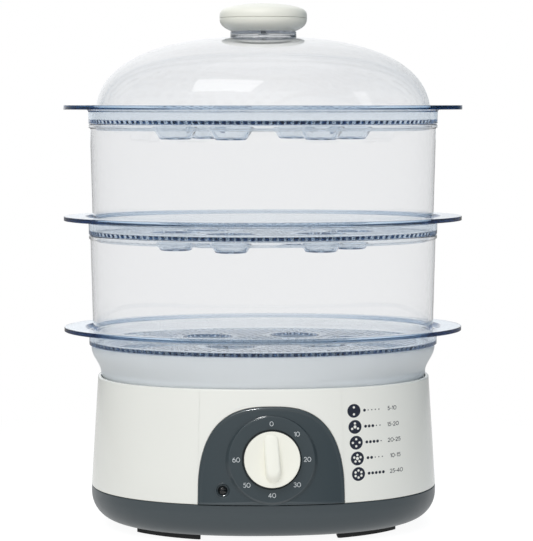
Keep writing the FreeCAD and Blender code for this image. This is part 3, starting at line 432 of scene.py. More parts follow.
# Width and strokes of each figure, for a height of 1.
FIGURES = {
    "0": (0.78, [bend(0.39, 0.5, 0.39, 0.5, 90, 450, 33)]),
    "1": (0.24, [[(0, 0.84), (0.24, 1)], [(0.24, 1), (0.24, 0)]]),
    "2": (0.60, [np.concatenate([bend(0.29, 0.71, 0.28, 0.29, 165, -38), [(0, 0)]]),
                 [(0, 0), (0.6, 0)]]),
    "3": (0.58, [bend(0.27, 0.76, 0.25, 0.24, 150, -90),
                 bend(0.27, 0.27, 0.30, 0.27, 90, -150)]),
    "4": (0.70, [[(0.52, 0), (0.52, 1)], [(0.52, 1), (0, 0.27)], [(0, 0.27), (0.7, 0.27)]]),
    "5": (0.58, [[(0.52, 1), (0.12, 1)], [(0.12, 1), (0.08, 0.58)],
                 bend(0.27, 0.33, 0.30, 0.33, 128, -145)]),
    "6": (0.66, [bend(0.33, 0.32, 0.33, 0.32, 90, 450, 25),
                 bend(0.62, 0.34, 0.62, 0.66, 180, 108)]),
    "-": (0.30, [[(0, 0.42), (0.3, 0.42)]]),
}
LETTER_GAP = 0.22


def lettered(text, height, weight):
    """Parts of a line of figures centred on the origin, as (across, up, -1 or 1 through the ink).

    A stroke is a line of points with half its weight laid off square to it on both sides, and an
    open one reaches a third of its weight past its ends."""
    strokes, cursor = [], 0.0
    for sign in text:
        width, lines = FIGURES[sign]
        strokes += [np.asarray(line, float) + (cursor, 0) for line in lines]
        cursor += width + LETTER_GAP
    centre = ((cursor - LETTER_GAP) / 2, 0.5)
    parts = []
    for line in strokes:
        ring = np.allclose(line[0], line[-1])
        if ring:
            line = line[:-1]
            along = np.roll(line, -1, 0) - np.roll(line, 1, 0)
        else:
            along = np.gradient(line, axis=0)
        along /= np.hypot(*along.T)[:, None]
        if not ring:
            line[0] -= along[0] * weight / 3
            line[-1] += along[-1] * weight / 3
        side = np.column_stack([-along[:, 1], along[:, 0]]) * weight / 2
        flat = (np.stack([line + side, line + side, line - side, line - side], 1) - centre) * height
        through = np.broadcast_to(np.array([(-1.0,), (1.0,), (1.0,), (-1.0,)]), flat.shape[:2] + (1,))
        points, faces = skin(np.concatenate([flat, through], -1), ring=ring)
        if not ring:
            faces += [[3, 2, 1, 0], list(range(len(points) - 4, len(points)))]
        parts.append((points, faces))
    return parts


# ---------------------------------------------------------------- finishes


def add(tree, kind, inputs=(), **settings):
    """Add a node, give it its settings, and set or link its inputs."""
    node = tree.nodes.new(kind)
    for key, value in settings.items():
        setattr(node, key, value)
    for key, value in dict(inputs).items():
        if isinstance(value, bpy.types.NodeSocket):
            tree.links.new(value, node.inputs[key])
        else:
            node.inputs[key].default_value = value
    return node


def fresh(name):
    """New empty material, its node tree and its Object coordinates."""
    made = bpy.data.materials.new(name)
    made.use_nodes = True
    made.node_tree.nodes.clear()
    return made, made.node_tree, add(made.node_tree, "ShaderNodeTexCoord").outputs["Object"]


def per(size):
    """Texture scale whose features are this size in metres."""
    return 1 / size


def relief(tree, place, size, detail, depth, strength=1.0):
    """Noise whose features have a real size, and the normal of a bump of a real depth from it."""
    noise = add(tree, "ShaderNodeTexNoise", {"Vector": place, "Scale": per(size), "Detail": detail})
    bump = add(tree, "ShaderNodeBump", {
        "Height": noise.outputs["Fac"], "Distance": depth, "Strength": strength})
    return noise.outputs["Fac"], bump.outputs["Normal"]


def chosen(name):
    """One of the chosen colours, as the nodes take it."""
    return tuple(getattr(bpy.context.scene.steamer_colours, name))


def scaled(tint, share):
    """A colour times a share, at full opacity."""
    return tuple(min(1.0, share * c) for c in tint[:3]) + (1.0,)


def moulded(name, tint, grain, depth, roughness, ior):
    """Moulded plastic or rubber.

    The pigment drifts by 3 % over some 70 mm, the gloss varies over 9 mm, as it does where the
    mould was polished by hand, and the skin has a grain of a real size and depth."""
    made, tree, place = fresh(name)
    drift = add(tree, "ShaderNodeTexNoise", {"Vector": place, "Scale": per(70 * MM), "Detail": 1.0})
    shade = add(tree, "ShaderNodeMix", {
        0: drift.outputs["Fac"], 6: scaled(tint, 0.97), 7: scaled(tint, 1.03)}, data_type="RGBA")
    polish = add(tree, "ShaderNodeTexNoise", {"Vector": place, "Scale": per(9 * MM), "Detail": 2.0})
    gloss = add(tree, "ShaderNodeMapRange", {
        "Value": polish.outputs["Fac"], "To Min": roughness * 0.85, "To Max": roughness * 1.15})
    _, normal = relief(tree, place, grain, 2.0, depth)
    shader = add(tree, "ShaderNodeBsdfPrincipled", {
        "Base Color": shade.outputs[2], "Roughness": gloss.outputs["Result"], "Normal": normal,
        "IOR": ior})
    add(tree, "ShaderNodeOutputMaterial", {"Surface": shader.outputs[0]})
    return made


def clear(name, ior, roughness, tint, density, ripple, depth):
    """Clear plastic or glass, whose colour is in its body.

    Light takes on the tint along its way through the wall, faster the higher the density. A slow
    ripple of a real size and depth is what the melt leaves as it flows. Lamps shine through, a
    little dimmed and a little bluer."""
    made, tree, place = fresh(name)
    _, normal = relief(tree, place, ripple, 1.0, depth)
    shader = add(tree, "ShaderNodeBsdfPrincipled", {
        "Base Color": (1.0, 1.0, 1.0, 1.0), "Roughness": roughness, "IOR": ior,
        "Transmission Weight": 1.0, "Normal": normal})
    path = add(tree, "ShaderNodeLightPath")
    open_to_lamps = add(tree, "ShaderNodeBsdfTransparent", {"Color": (0.93, 0.94, 0.96, 1.0)})
    mixed = add(tree, "ShaderNodeMixShader", {
        0: path.outputs["Is Shadow Ray"], 1: shader.outputs[0], 2: open_to_lamps.outputs[0]})
    body = add(tree, "ShaderNodeVolumeAbsorption", {"Color": tint, "Density": density})
    add(tree, "ShaderNodeOutputMaterial", {"Surface": mixed.outputs[0], "Volume": body.outputs[0]})
    return made


def steel(name, tint, roughness, line, depth):
    """Metal worked in one direction: lines of a real spacing, twenty times longer along X."""
    made, tree, place = fresh(name)
    along = add(tree, "ShaderNodeMapping", {"Vector": place, "Scale": (1 / 20, 1.0, 1.0)})
    lines, normal = relief(tree, along.outputs[0], line, 3.0, depth)
    gloss = add(tree, "ShaderNodeMapRange", {
        "Value": lines, "To Min": roughness * 0.8, "To Max": roughness * 1.25})
    shader = add(tree, "ShaderNodeBsdfPrincipled", {
        "Base Color": tint, "Metallic": 1.0, "Roughness": gloss.outputs["Result"], "Normal": normal})
    add(tree, "ShaderNodeOutputMaterial", {"Surface": shader.outputs[0]})
    return made


def gloss_white_abs():
    """ABS moulded in a polished mould: an even, slightly warm gloss with a faint orange peel."""
    return moulded("ABS moulded gloss white", chosen("shell"), 3.0 * MM, 0.006 * MM, 0.16, 1.53)


def satin_slate_abs():
    """ABS moulded against a fine sparked texture: broad, soft highlights."""
    return moulded("ABS moulded satin slate", chosen("slate"), 0.5 * MM, 0.010 * MM, 0.36, 1.53)


def gloss_slate_abs():
    """The same ABS from a polished mould: the panel's crisper highlights."""
    return moulded("ABS moulded gloss slate", chosen("slate"), 2.5 * MM, 0.004 * MM, 0.14, 1.53)


def ivory_abs():
    """ABS moulded semi-gloss for what the hand touches: a soft highlight on a warm white."""
    return moulded("ABS moulded ivory", chosen("knob"), 0.8 * MM, 0.006 * MM, 0.30, 1.53)


def white_pp():
    """Polypropylene of the tank: waxy, with a soft sheen."""
    return moulded("PP moulded white", chosen("tank"), 1.2 * MM, 0.010 * MM, 0.42, 1.49)


def black_rubber():
    """Moulded rubber of the feet: near black and dull."""
    return moulded("Rubber moulded black", linear("#1b1c1d"), 0.6 * MM, 0.03 * MM, 0.75, 1.52)


def black_nylon():
    """Nylon of the gland, the movement and its blocks: black, with a slightly waxy sheen."""
    return moulded("Nylon moulded black", linear("#252729"), 1.0 * MM, 0.012 * MM, 0.45, 1.53)


def grey_silicone():
    """Moulded silicone of the gasket: dull and pale grey."""
    return moulded("Silicone moulded grey", linear("#b9bcbc"), 0.7 * MM, 0.015 * MM, 0.6, 1.41)


def clear_san():
    """SAN of bowls and lid, moulded in polished steel: water clear, with bright edges."""
    return clear("SAN moulded clear", 1.57, 0.015, chosen("bowl_tint"), 54.0, 28 * MM, 0.02 * MM)


def blue_san():
    """SAN with a blue dye: almost colourless through a wall, navy along a rim."""
    return clear("SAN moulded blue tint", 1.57, 0.015, chosen("tray_tint"), 58.0, 20 * MM, 0.015 * MM)


def frosted_pp():
    """Natural polypropylene from a blasted mould: milky, it passes light but no picture."""
    made, tree, place = fresh("PP moulded frosted")
    tint = chosen("frost")
    _, normal = relief(tree, place, 0.7 * MM, 2.0, 0.012 * MM)
    cloud = add(tree, "ShaderNodeTexNoise", {"Vector": place, "Scale": per(60 * MM), "Detail": 1.0})
    shade = add(tree, "ShaderNodeMix", {
        0: cloud.outputs["Fac"], 6: scaled(tint, 0.96), 7: tint}, data_type="RGBA")
    shader = add(tree, "ShaderNodeBsdfPrincipled", {
        "Base Color": shade.outputs[2], "Roughness": 0.4, "IOR": 1.49, "Transmission Weight": 0.3,
        "Normal": normal})
    add(tree, "ShaderNodeOutputMaterial", {"Surface": shader.outputs[0]})
    return made


def ground_stainless():
    """Stainless steel of the heating plate and its element, finely ground."""
    return steel("Stainless steel ground", linear("#c5c6c5"), 0.26, 0.4 * MM, 0.004 * MM)


def zinc_steel():
    """Zinc-plated pressed steel: greyer and duller."""
    return steel("Steel zinc plated", linear("#a9adb0"), 0.38, 1.5 * MM, 0.006 * MM)


def polycarbonate_dark_as_shade():
    """Polycarbonate lens, moulded and polished, tinted near black in its body: painted shade that stands
    in for the dark hollow behind a clear lens.
    """
    return clear("Polycarbonate moulded clear", 1.58, 0.01, linear("#4a4a4e"), 700.0, 2 * MM, 0.001 * MM)


def lamp_glass():
    """Blown glass of the neon lamp and the fuse's tube: clear, with a trace of green."""
    return clear("Soda glass blown", 1.52, 0.0, linear("#e8ece8"), 40.0, 3 * MM, 0.002 * MM)


def print_ink(name, tint):
    """Pad-printed ink: even, slightly satin, with the faint pinholes of a pad."""
    return moulded(name, tint, 0.25 * MM, 0.004 * MM, 0.45, 1.5)


# ---------------------------------------------------------------- base


def housing_depth():
    """Half depth of the housing, from the tower's axis to its rear wall."""
    return BOX["lower_housing"][1].y - AXIS_Y


def parting_z():
    """Height of the housing's top edge, a small gap under the shell."""
    return low_z("outer_shell") - bpy.context.scene.steamer_base.parting_gap


def shell_half(z, offset=0.0):
    """Half length and half depth of the shell's outer face at height z.

    Both run straight from the parting line, where they are the housing's, to the top edge."""
    sizes = bpy.context.scene.steamer_base
    t = (z - parting_z()) / (high_z("outer_shell") - parting_z())
    a = half_x("lower_housing") + (sizes.shell_top_a - half_x("lower_housing")) * t
    b = housing_depth() + (sizes.shell_top_b - housing_depth()) * t
    return a + offset, b + offset


def on_shell(points):
    """Points (x, z, w) set on the front of the shell, w out of it.

    There y = -b (1 - |x / a|^n)^(1/n), with half sizes a and b at height z grown by w."""
    n = bpy.context.scene.steamer_base.squareness
    x, z, w = np.moveaxis(points, -1, 0)
    a, b = shell_half(z, w)
    return np.stack([x, -b * (1 - np.abs(x / a) ** n) ** (1 / n), z], -1)


def arch(count, margin=0.0):
    """Upper half of the panel's outline as (x, height above its foot), from right to left.

    It is the outline |x / a|^n + |h / H|^n = 1 at even angles."""
    sizes = bpy.context.scene.steamer_base
    u, v = squared(np.linspace(0, math.pi, count), sizes.arch_n)
    v[[0, -1]] = 0.0
    return (sizes.arch_a + margin) * u, (sizes.arch_h + margin) * v


class STEAMER_OT_housing(bpy.types.Operator):
    """Dark lower housing: round bottom edge, vented underside, screw recesses and the cord gland"""

    bl_idname = "steamer.housing"
    bl_label = "Lower housing"

    def execute(self, context):
        sizes = context.scene.steamer_base
        n, wall, low = sizes.squareness, sizes.housing_wall, low_z("lower_housing")
        a, b = half_x("lower_housing"), housing_depth()
        inset, z = self.section(sizes, low).T
        body = skin(ovals(np.stack([a - inset, b - inset, z, 0 * z], 1), n=n))
        rim = ovals([(a - inset[0], b - inset[0], low, 0)], n=n)[0, :, :2]
        vent_x, vent_y = 30 * MM, middle("heating_plate")[1] - AXIS_Y
        vents = [
            stadium(side * vent_x + k * sizes.vent_pitch, vent_y, sizes.vent_width, sizes.vent_length)
            for side in (-1, 1) for k in range(-2, 3)]
        screw_x, screw_y = 70 * MM, (-14 * MM, 38 * MM)
        screws = [(side * screw_x, y) for y in screw_y for side in (-1, 1)]
        bore, hole, boss, height = 3.75 * MM, 2 * MM, 4.6 * MM, 7.2 * MM
        recess = lathe(rounded([
            (bore, low, 0), (bore, low + wall, 0.2 * MM), (hole, low + wall, 0.1 * MM),
            (hole, low + height, 0.1 * MM), (boss, low + height, 0.3 * MM), (boss, low + wall, 0)],
            support=0.1 * MM), 32)
        feet, roots = ([circle(x, y, r, 32) for x, y in screws] for r in (bore, boss))
        parts = [body, sheet(rim, vents + feet, low, up=False), sheet(rim, vents + roots, low + wall)]
        parts += [well(loop, low + wall, low) for loop in vents]
        parts += [skin(recess + (x, y, 0)) for x, y in screws]
        piece("lower_housing_looks", parts, satin_slate_abs(), "base", "housing_grey", "lower_housing")
        self.gland()
        return {"FINISHED"}

    def section(self, sizes, low):
        """Wall as (inset, height): round the outside, over the tongue in the shell, down the inside."""
        wall, bend, top = sizes.housing_wall, sizes.housing_round, parting_z()
        far, flat = 3 * bend, bend + 0.8 * MM
        tongue, crest = sizes.shell_wall + 0.25 * MM, top + 3.8 * MM
        inner = tongue + 1.8 * MM
        outside = rounded([(far, low, 0), (0, low, bend), (0, low + far, 0)], steps=16)[:-1]
        inside = rounded([
            (wall, low + far, 0), (wall, low + wall, bend - wall), (far, low + wall, 0)], steps=16)[1:]
        edge = rounded([
            (*outside[-1], 0), (0, top, 0.5 * MM), (tongue, top, 0), (tongue, crest, 0.3 * MM),
            (inner, crest, 0.3 * MM), (inner, top - 3 * MM, 0.5 * MM), (wall, top - 1 * MM, 0)])
        section = np.concatenate([outside, edge[1:], inside])
        section[[0, -1], 0] = flat
        return section

    def gland(self):
        """Flanged bush in the rear wall, where the cord goes in."""
        bore, mouth, barrel, flange = 3.4 * MM, 4.4 * MM, 6 * MM, 8 * MM
        inner, throat, seat, face = -8.6 * MM, -3 * MM, 0.1 * MM, 2.1 * MM
        bush = lathe(rounded([
            (bore, inner, 0), (barrel, inner, 0.3 * MM), (barrel, seat, 0), (flange, seat, 0.2 * MM),
            (flange, face, 0.9 * MM), (mouth, face, 0.9 * MM), (bore, throat, 0.5 * MM),
            (bore, inner, 0)], support=0.1 * MM), 64)
        at = (0, housing_depth(), middle("cord_gland")[2])
        piece("cord_gland_looks", [skin(turned_to(bush, at, (-1, 0, 0), (0, 0, 1), (0, 1, 0)))],
              black_nylon(), "base", "movement_plastic", "cord_gland")


class STEAMER_OT_shell(bpy.types.Operator):
    """White shell: drafted oval wall with a rounded top edge, a ledge inside and an arched opening"""

    bl_idname = "steamer.shell"
    bl_label = "Outer shell"

    def execute(self, context):
        sizes = context.scene.steamer_base
        n, wall = sizes.squareness, sizes.shell_wall
        foot, top = low_z("outer_shell"), high_z("outer_shell")
        # Front columns end on the arch, the others on the shell's foot. Each column keeps its
        # place (u, v) on the unit outline, so x = a(z) u and y = b(z) v all the way up.
        x, rise = arch(121, margin=0.25 * MM)
        u = -x / shell_half(foot + rise)[0]
        v = -(1 - np.abs(u) ** n) ** (1 / n)
        first = math.atan2(v[-1], u[-1])
        u, v = np.concatenate([(u, v), squared(np.linspace(first, math.pi - first, 216)[1:-1], n)], 1)
        start = np.full(len(u), foot)
        start[:len(rise)] += rise
        ledge, low_ledge, reach = sizes.ledge_z, sizes.ledge_z - 2 * MM, wall + sizes.ledge_width
        sill = 0.3 * MM
        crown = rounded([
            (0, ledge, 0), (0, top, sizes.shell_edge), (wall, top, 0.5 * MM), (wall, ledge, 0.4 * MM),
            (reach, ledge, 0.4 * MM), (reach, low_ledge, 0.4 * MM), (wall, low_ledge, 0)], steps=6)
        outer = start + sill + (ledge - start - sill) * np.linspace(0, 1, 15)[1:-1, None]
        inner = low_ledge + (start - low_ledge) * np.linspace(0, 1, 9)[1:, None]
        z = np.concatenate([[start, start + sill], outer, np.repeat(crown[:, 1:], len(u), 1), inner])
        inset = np.concatenate(
            [[sill], np.zeros(1 + len(outer)), crown[:, 0], np.full(len(inner), wall)])
        a, b = shell_half(z, -inset[:, None])
        piece("outer_shell_looks", [skin(np.stack([a * u, b * v, z], -1), ring=True)],
              gloss_white_abs(), "base", "shell_white", "outer_shell")
        return {"FINISHED"}


class STEAMER_OT_panel(bpy.types.Operator):
    """Control panel: arched skin with a thin raised lip, round dial with a pocket, lamp and lens"""

    bl_idname = "steamer.panel"
    bl_label = "Control panel"

    def execute(self, context):
        sizes = context.scene.steamer_base
        lamp = on_shell(np.array([(sizes.lamp_x, sizes.lamp_z, sizes.panel_proud)]))[0]
        parts = [self.face(sizes), self.dial(sizes), self.dish(lamp)]
        piece("control_panel_looks", parts, gloss_slate_abs(), "base", "panel_grey", "control_panel",
              crease=40)
        # The lens is dark in its body: painted shade for the hollow behind it.
        piece("indicator_lens_looks", [self.lens(sizes, lamp)], polycarbonate_dark_as_shade(), "base",
              "lamp_lens", "indicator_lens")
        return {"FINISHED"}

    def face(self, sizes):
        """Arched skin from a circle hidden under the dial to its lip, sunk round the lamp.

        Its points lie on lines from the dial's centre to the outline: `inwards` is their way in
        from the outline, and `height` their height over the shell."""
        x, rise = arch(241)
        base_x = -sizes.arch_a * np.cos(np.linspace(0, math.pi, 122))[1:-1]
        z = low_z("outer_shell") + np.append(rise, 0 * base_x)
        outline = np.stack([np.append(x, base_x), z], -1)
        centre, hidden = np.array((0, DIAL_AT[2])), 0.86 * sizes.dial_r
        edge = outline - centre
        reach = np.hypot(*edge.T)
        lip_in = sizes.panel_edge * np.array(
            (2.4, 2.0, 1.6, 1.25, 0.95, 0.7, 0.48, 0.3, 0.16, 0.06, 0, 0, 0, 0))
        lip_up = sizes.panel_proud + MM * np.array(
            (0, 0.03, 0.12, 0.2, 0.2, 0.12, -0.02, -0.2, -0.42, -0.66, -0.95, -1.2, -1.6, -3.0))
        share = np.linspace(0, 1, 72)[:, None]
        inwards = np.concatenate([(reach - hidden) + (lip_in[0] - reach + hidden) * share,
                                  np.repeat(lip_in[1:, None], len(reach), 1)])
        height = np.append(np.full(len(share), sizes.panel_proud), lip_up[1:])[:, None]
        flat = centre + edge * (1 - inwards / reach)[..., None]
        from_lamp = np.hypot(flat[..., 0] - sizes.lamp_x, flat[..., 1] - sizes.lamp_z)
        sunk_r, sunk = 4.7 * MM, -1.6 * MM
        height = np.where(from_lamp < sunk_r, sunk, height)
        front = np.concatenate([flat, height[..., None]], -1)
        back = np.concatenate([flat[[-1, 0]], np.full((2, len(reach), 1), -sizes.shell_wall)], -1)
        return skin(on_shell(np.concatenate([front, back])), ring=True)

    def dial(self, sizes):
        """Raised dial with the knob's pocket. The foot of its flare lies lower by the droop."""
        face, r, pocket = sizes.dial_h, sizes.dial_r, sizes.knob_r + sizes.knob_clear
        floor, shaft = face - sizes.pocket_depth, 5.75 * MM
        back = floor - 1.4 * MM
        disc = lathe(rounded([
            (shaft, floor, 0), (shaft, back, 0), (r + sizes.dial_flare, back, 0), (r, face, 0.6 * MM),
            (pocket, face, 0.35 * MM), (pocket, floor, 0.3 * MM), (shaft, floor, 0)],
            steps=6, support=0.2 * MM), 192)
        outer = np.hypot(disc[..., 0], disc[..., 1]) > r - 1 * MM
        disc[..., 1] -= sizes.dial_droop * np.clip((face - disc[..., 2]) / (face - back), 0, 1) * outer
        return skin(on_dial(disc))

    def dish(self, lamp):
        """Shallow ring round the lamp."""
        hole, bowl, lip, rim = 3.6 * MM, 4.1 * MM, 4.9 * MM, 5.6 * MM
        back, floor, slope, top = -3 * MM, -1.5 * MM, -1.3 * MM, 0.14 * MM
        ring = lathe(rounded([
            (hole, back, 0), (rim, back, 0), (rim, top, 0.3 * MM), (lip, top, 0.3 * MM),
            (bowl, slope, 0.6 * MM), (hole, floor, 0.1 * MM), (hole, back, 0)], support=0.1 * MM), 72)
        return skin(on_dial(ring, lamp))

    def lens(self, sizes, lamp):
        """Lens: a barrel with a cap of height h, part of a ball of radius (r^2 + h^2) / 2h."""
        r, low, rise, back, bevel = sizes.lamp_r, -1.5 * MM, 1.7 * MM, -6 * MM, 0.2 * MM
        ball = (r ** 2 + rise ** 2) / (2 * rise)
        t = np.linspace(math.asin(r / ball), 0, 9)
        cap = np.stack([ball * np.sin(t), low + rise - ball + ball * np.cos(t)], 1)
        barrel = [(0, back), (r, back), (r, back + bevel), (r, low - bevel)]
        return skin(on_dial(lathe(np.concatenate([barrel, cap]), 64), lamp))


class STEAMER_OT_figures(bpy.types.Operator):
    """Printed figures round the dial, from 0 at the top in steps of 45 degrees"""

    bl_idname = "steamer.figures"
    bl_label = "Dial figures"

    def execute(self, context):
        sizes = context.scene.steamer_base
        parts = []
        for k, text in enumerate(("0", "10", "20", "30", "40", "50", "60")):
            angle = math.radians(90 - 45 * k)
            at = (sizes.figure_r * math.cos(angle), sizes.figure_r * math.sin(angle), sizes.dial_h)
            parts += [(on_dial(points * (1, 1, sizes.ink) + at), faces)
                      for points, faces in lettered(text, sizes.figure_height, sizes.figure_weight)]
        ink = print_ink("Ink pad printed light", chosen("figures"))
        piece("dial_figures", parts, ink, "base", "panel_grey")
        return {"FINISHED"}


class STEAMER_OT_chart(bpy.types.Operator):
    """Printed time chart at the right of the panel: round marks, rows of dots and plain numbers"""

    bl_idname = "steamer.chart"
    bl_label = "Time chart"

    # Rows: place of the mark across and up in millimetres, numbers, how many dots are large.
    rows = ((60.2, 95.2, "5-10", 1), (60.9, 83.7, "15-20", 3), (61.7, 72.4, "20-25", 4),
            (62.5, 61.1, "10-15", 2), (63.2, 50.0, "25-40", 5))

    def execute(self, context):
        sizes = context.scene.steamer_base
        ink = print_ink("Ink pad printed dark", chosen("chart"))
        mark_r, large_r, small_r, over_mark = 4.9, 1.05, 0.45, 1.6
        first_dot, dot_pitch, numbers_at = 8.0, 2.75, 29.3
        weight = 1.15 * sizes.figure_weight
        dark, pale = [], []
        for k, (x, z, text, large) in enumerate(self.rows):
            dark.append(self.dot(sizes, x, z, mark_r, 40))
            pale += [self.dot(sizes, *spot, 16, over_mark) for spot in self.motif(x, z, k)]
            for i in range(5):
                r = large_r if i < large else small_r
                dark.append(self.dot(sizes, x + first_dot + dot_pitch * i, z, r, 16))
            at = ((x + numbers_at) * MM, z * MM, 0)
            dark += [(on_shell(points * (1, 1, sizes.ink) + at), faces)
                     for points, faces in lettered(text, sizes.chart_height, weight)]
        piece("time_chart", dark, ink, "base", "shell_white")
        piece("time_chart_motifs", pale, bpy.data.materials["ABS moulded gloss white"], "base",
              "shell_white")
        return {"FINISHED"}

    def dot(self, sizes, x, z, r, count, level=1.0):
        """Closed round spot on the shell, placed in millimetres, `level` times the ink's thickness."""
        share, side = np.array([(0, -1), (1, -1), (1, 1), (0.66, 1), (0.33, 1), (0, 1)]).T[:, :, None]
        t = np.linspace(0, 2 * math.pi, count, endpoint=False)
        across, up = (x + r * share * np.cos(t)) * MM, (z + r * share * np.sin(t)) * MM
        return skin(on_shell(np.stack([across, up, side * level * sizes.ink + 0 * up], -1)))

    def motif(self, x, z, kind):
        """Places and radii of the pale spots that make a row's simple round motif."""
        petals, ring_r, petal_r, centre_r = kind + 2, 2.5, 0.85, 1.1
        spots = [(x, z, centre_r)] if kind % 2 else []
        for i in range(petals):
            angle = math.pi / 2 + 2 * math.pi * i / petals
            spots.append((x + ring_r * math.cos(angle), z + ring_r * math.sin(angle), petal_r))
        return spots


class STEAMER_OT_timer_knob(bpy.types.Operator):
    """Timer knob: dished disc with a thin rim, and a grip bar that rises from the rim at the top"""

    bl_idname = "steamer.timer_knob"
    bl_label = "Timer knob"

    def execute(self, context):
        sizes = context.scene.steamer_base
        top = sizes.dial_h + sizes.knob_face
        parts = [skin(on_dial(grid)) for grid in (self.disc(sizes, top), self.grip(sizes, top))]
        piece("timer_knob_looks", parts, ivory_abs(), "timer_dial", "knob_ivory", "timer_knob")
        return {"FINISHED"}

    def disc(self, sizes, top):
        """Disc with an undercut skirt, whose face dips as w = top - scoop (1 - (rho / reach)^2)."""
        r, seat, low = sizes.knob_r, sizes.dial_h, sizes.dial_h - sizes.pocket_depth + 0.8 * MM
        reach, skirt, hub, web = r - 1.1 * MM, r - 3 * MM, r - 5 * MM, top - 4.5 * MM
        share = np.linspace(1, 0, 12)[:, None]
        face = np.concatenate([reach * share, top - sizes.knob_scoop * (1 - share ** 2)], 1)
        side = rounded([
            (hub, web, 0), (hub, low, 0.3 * MM), (skirt, low, 0.3 * MM), (skirt, seat, 0.3 * MM),
            (r, seat, 0.2 * MM), (r, top, 0.7 * MM), (*face[0], 0)], steps=7, support=0.15 * MM)
        return lathe(np.concatenate([[(0, web)], side, face[1:]]), 192)

    def grip(self, sizes, top):
        """Grip bar: stadium outlines drawn in by `inset` at `drop` below the crest.

        The crest rises from the rim at the upper end by the 0.9th power of the way to the low
        end, which is a slope, and the bar is turned by its lean."""
        r, half = sizes.knob_r, sizes.grip_width / 2
        upper, lower, foot, crown = r - 0.8 * MM - half, half - 0.9 * r, top - 4 * MM, 0.35 * MM
        t = np.linspace(0, math.pi, 33)
        across, along = np.append(np.cos(t), -np.cos(t)), np.append(np.sin(t), -np.sin(t))
        centre = np.repeat((upper, lower), len(t))
        edge, rib = 2.2 * MM, half - 0.02 * MM
        inset = np.append(edge * np.array((0, 0, 0, 0.03, 0.12, 0.27, 0.5, 0.75, 1.0)), rib)
        drop = np.array((9, 9, 2.2, 1.7, 1.1, 0.6, 0.2, 0.03, 0, -0.25)) * MM
        ramp = sizes.grip_ramp * (1 - drop / drop[0])[:, None] * (centre < 0)
        u = (half - inset)[:, None] * across
        v = centre + (half - inset)[:, None] * along + ramp
        way = (upper + half - v) / (upper - lower + 2 * half)
        crest = top + sizes.grip_height * way ** 0.9 - crown
        w = crest - np.minimum(drop[:, None], crest - foot)
        w[0] = foot
        bar = np.stack([u, v, w], -1)
        bottom, cap = bar[:1] * (0, 0, 1), bar[-1:] * (0, 1, 1)
        grid = np.concatenate([bottom, bar, cap])
        c, s = math.cos(math.radians(sizes.grip_lean)), math.sin(math.radians(sizes.grip_lean))
        grid[..., :2] = grid[..., :2] @ np.array(((c, s), (-s, c)))
        return grid


# ---------------------------------------------------------------- tiers


class STEAMER_OT_drip_tray(bpy.types.Operator):
    """Frosted drip tray: drafted seat in the shell, flared collar, floor with a raised oval flue"""

    bl_idname = "steamer.drip_tray"
    bl_label = "Drip tray"

    def execute(self, context):
        sizes, base = context.scene.steamer_tiers, context.scene.steamer_base
        low, top, shell_top = low_z("drip_tray"), high_z("drip_tray"), high_z("outer_shell")
        thick, waist = sizes.drip_wall, shell_top + sizes.drip_waist
        mouth_a, mouth_b = shell_half(shell_top, -base.shell_wall - 0.4 * MM)
        waist_a, waist_b = mouth_a + 0.6 * MM, mouth_b - 0.4 * MM
        # The collar flares by half a cosine wave, which ends a little under the rim.
        t = np.linspace(0, 1, 25)
        s = 0.5 - 0.5 * np.cos(math.pi * np.minimum(1, 1.08 * t))
        collar = np.stack([waist_a + (half_x("drip_tray") - waist_a) * s,
                           waist_b + (half_y("drip_tray") - waist_b) * s, waist + (top - waist) * t], 1)
        seat = [(mouth_a - inset, mouth_b - inset, z) for inset, z in (
            (2.3 * MM, low), (1.5 * MM, low + 0.3 * MM), (1.1 * MM, low + 1.2 * MM),
            (0.3 * MM, shell_top))]
        outer = np.concatenate([seat, collar[:-1]])
        inset = np.array((0, 0.1, 0.3, 0.7, 1.3, 1.7, 1.9, 2.0)) * MM
        drop = np.array((0.8, 0.4, 0.15, 0, 0, 0.15, 0.4, 0.8)) * MM
        rim = collar[-1] - np.stack([inset, inset, drop], 1)
        inner = outer[:1:-1] - (thick, thick, 0)
        # The inside ends above the floor and slopes to it, which leaves a fillet.
        inner[-1, 2] = low + thick + 1.5 * MM
        floor_inset = thick + 3.2 * MM
        floor = [(mouth_a - floor_inset, mouth_b - floor_inset, low + thick)]
        wall = np.concatenate([outer, rim, inner, floor])
        # The outline is squarer than an ellipse in the shell, and is one 4 mm above the shell.
        seat_n, round_n, turn = 2.15, 2.0, 4 * MM
        above = np.clip((wall[:, 2] - shell_top) / turn, 0, 1)
        squareness = seat_n + (round_n - seat_n) * above
        crest, reach = low + sizes.flue_h, thick + 6 * MM
        off, z = rounded([
            (reach, low + thick, 0), (thick, low + thick, 2 * MM), (0, crest, 0.7 * MM),
            (-thick, crest, 0.7 * MM), (-thick, low, 0.6 * MM), (reach, low, 0)], steps=6).T
        flue = np.stack([sizes.flue_a + off, sizes.flue_b + off, z, sizes.flue_y + 0 * z], 1)
        rows = np.concatenate([np.column_stack([wall, np.zeros(len(wall))]), flue])
        grid = ovals(rows, n=np.append(squareness, np.full(len(flue), round_n)))
        piece("drip_tray_looks", [skin(grid, ring=True)], frosted_pp(), "drip_tray", "drip_frosted",
              "drip_tray")
        return {"FINISHED"}


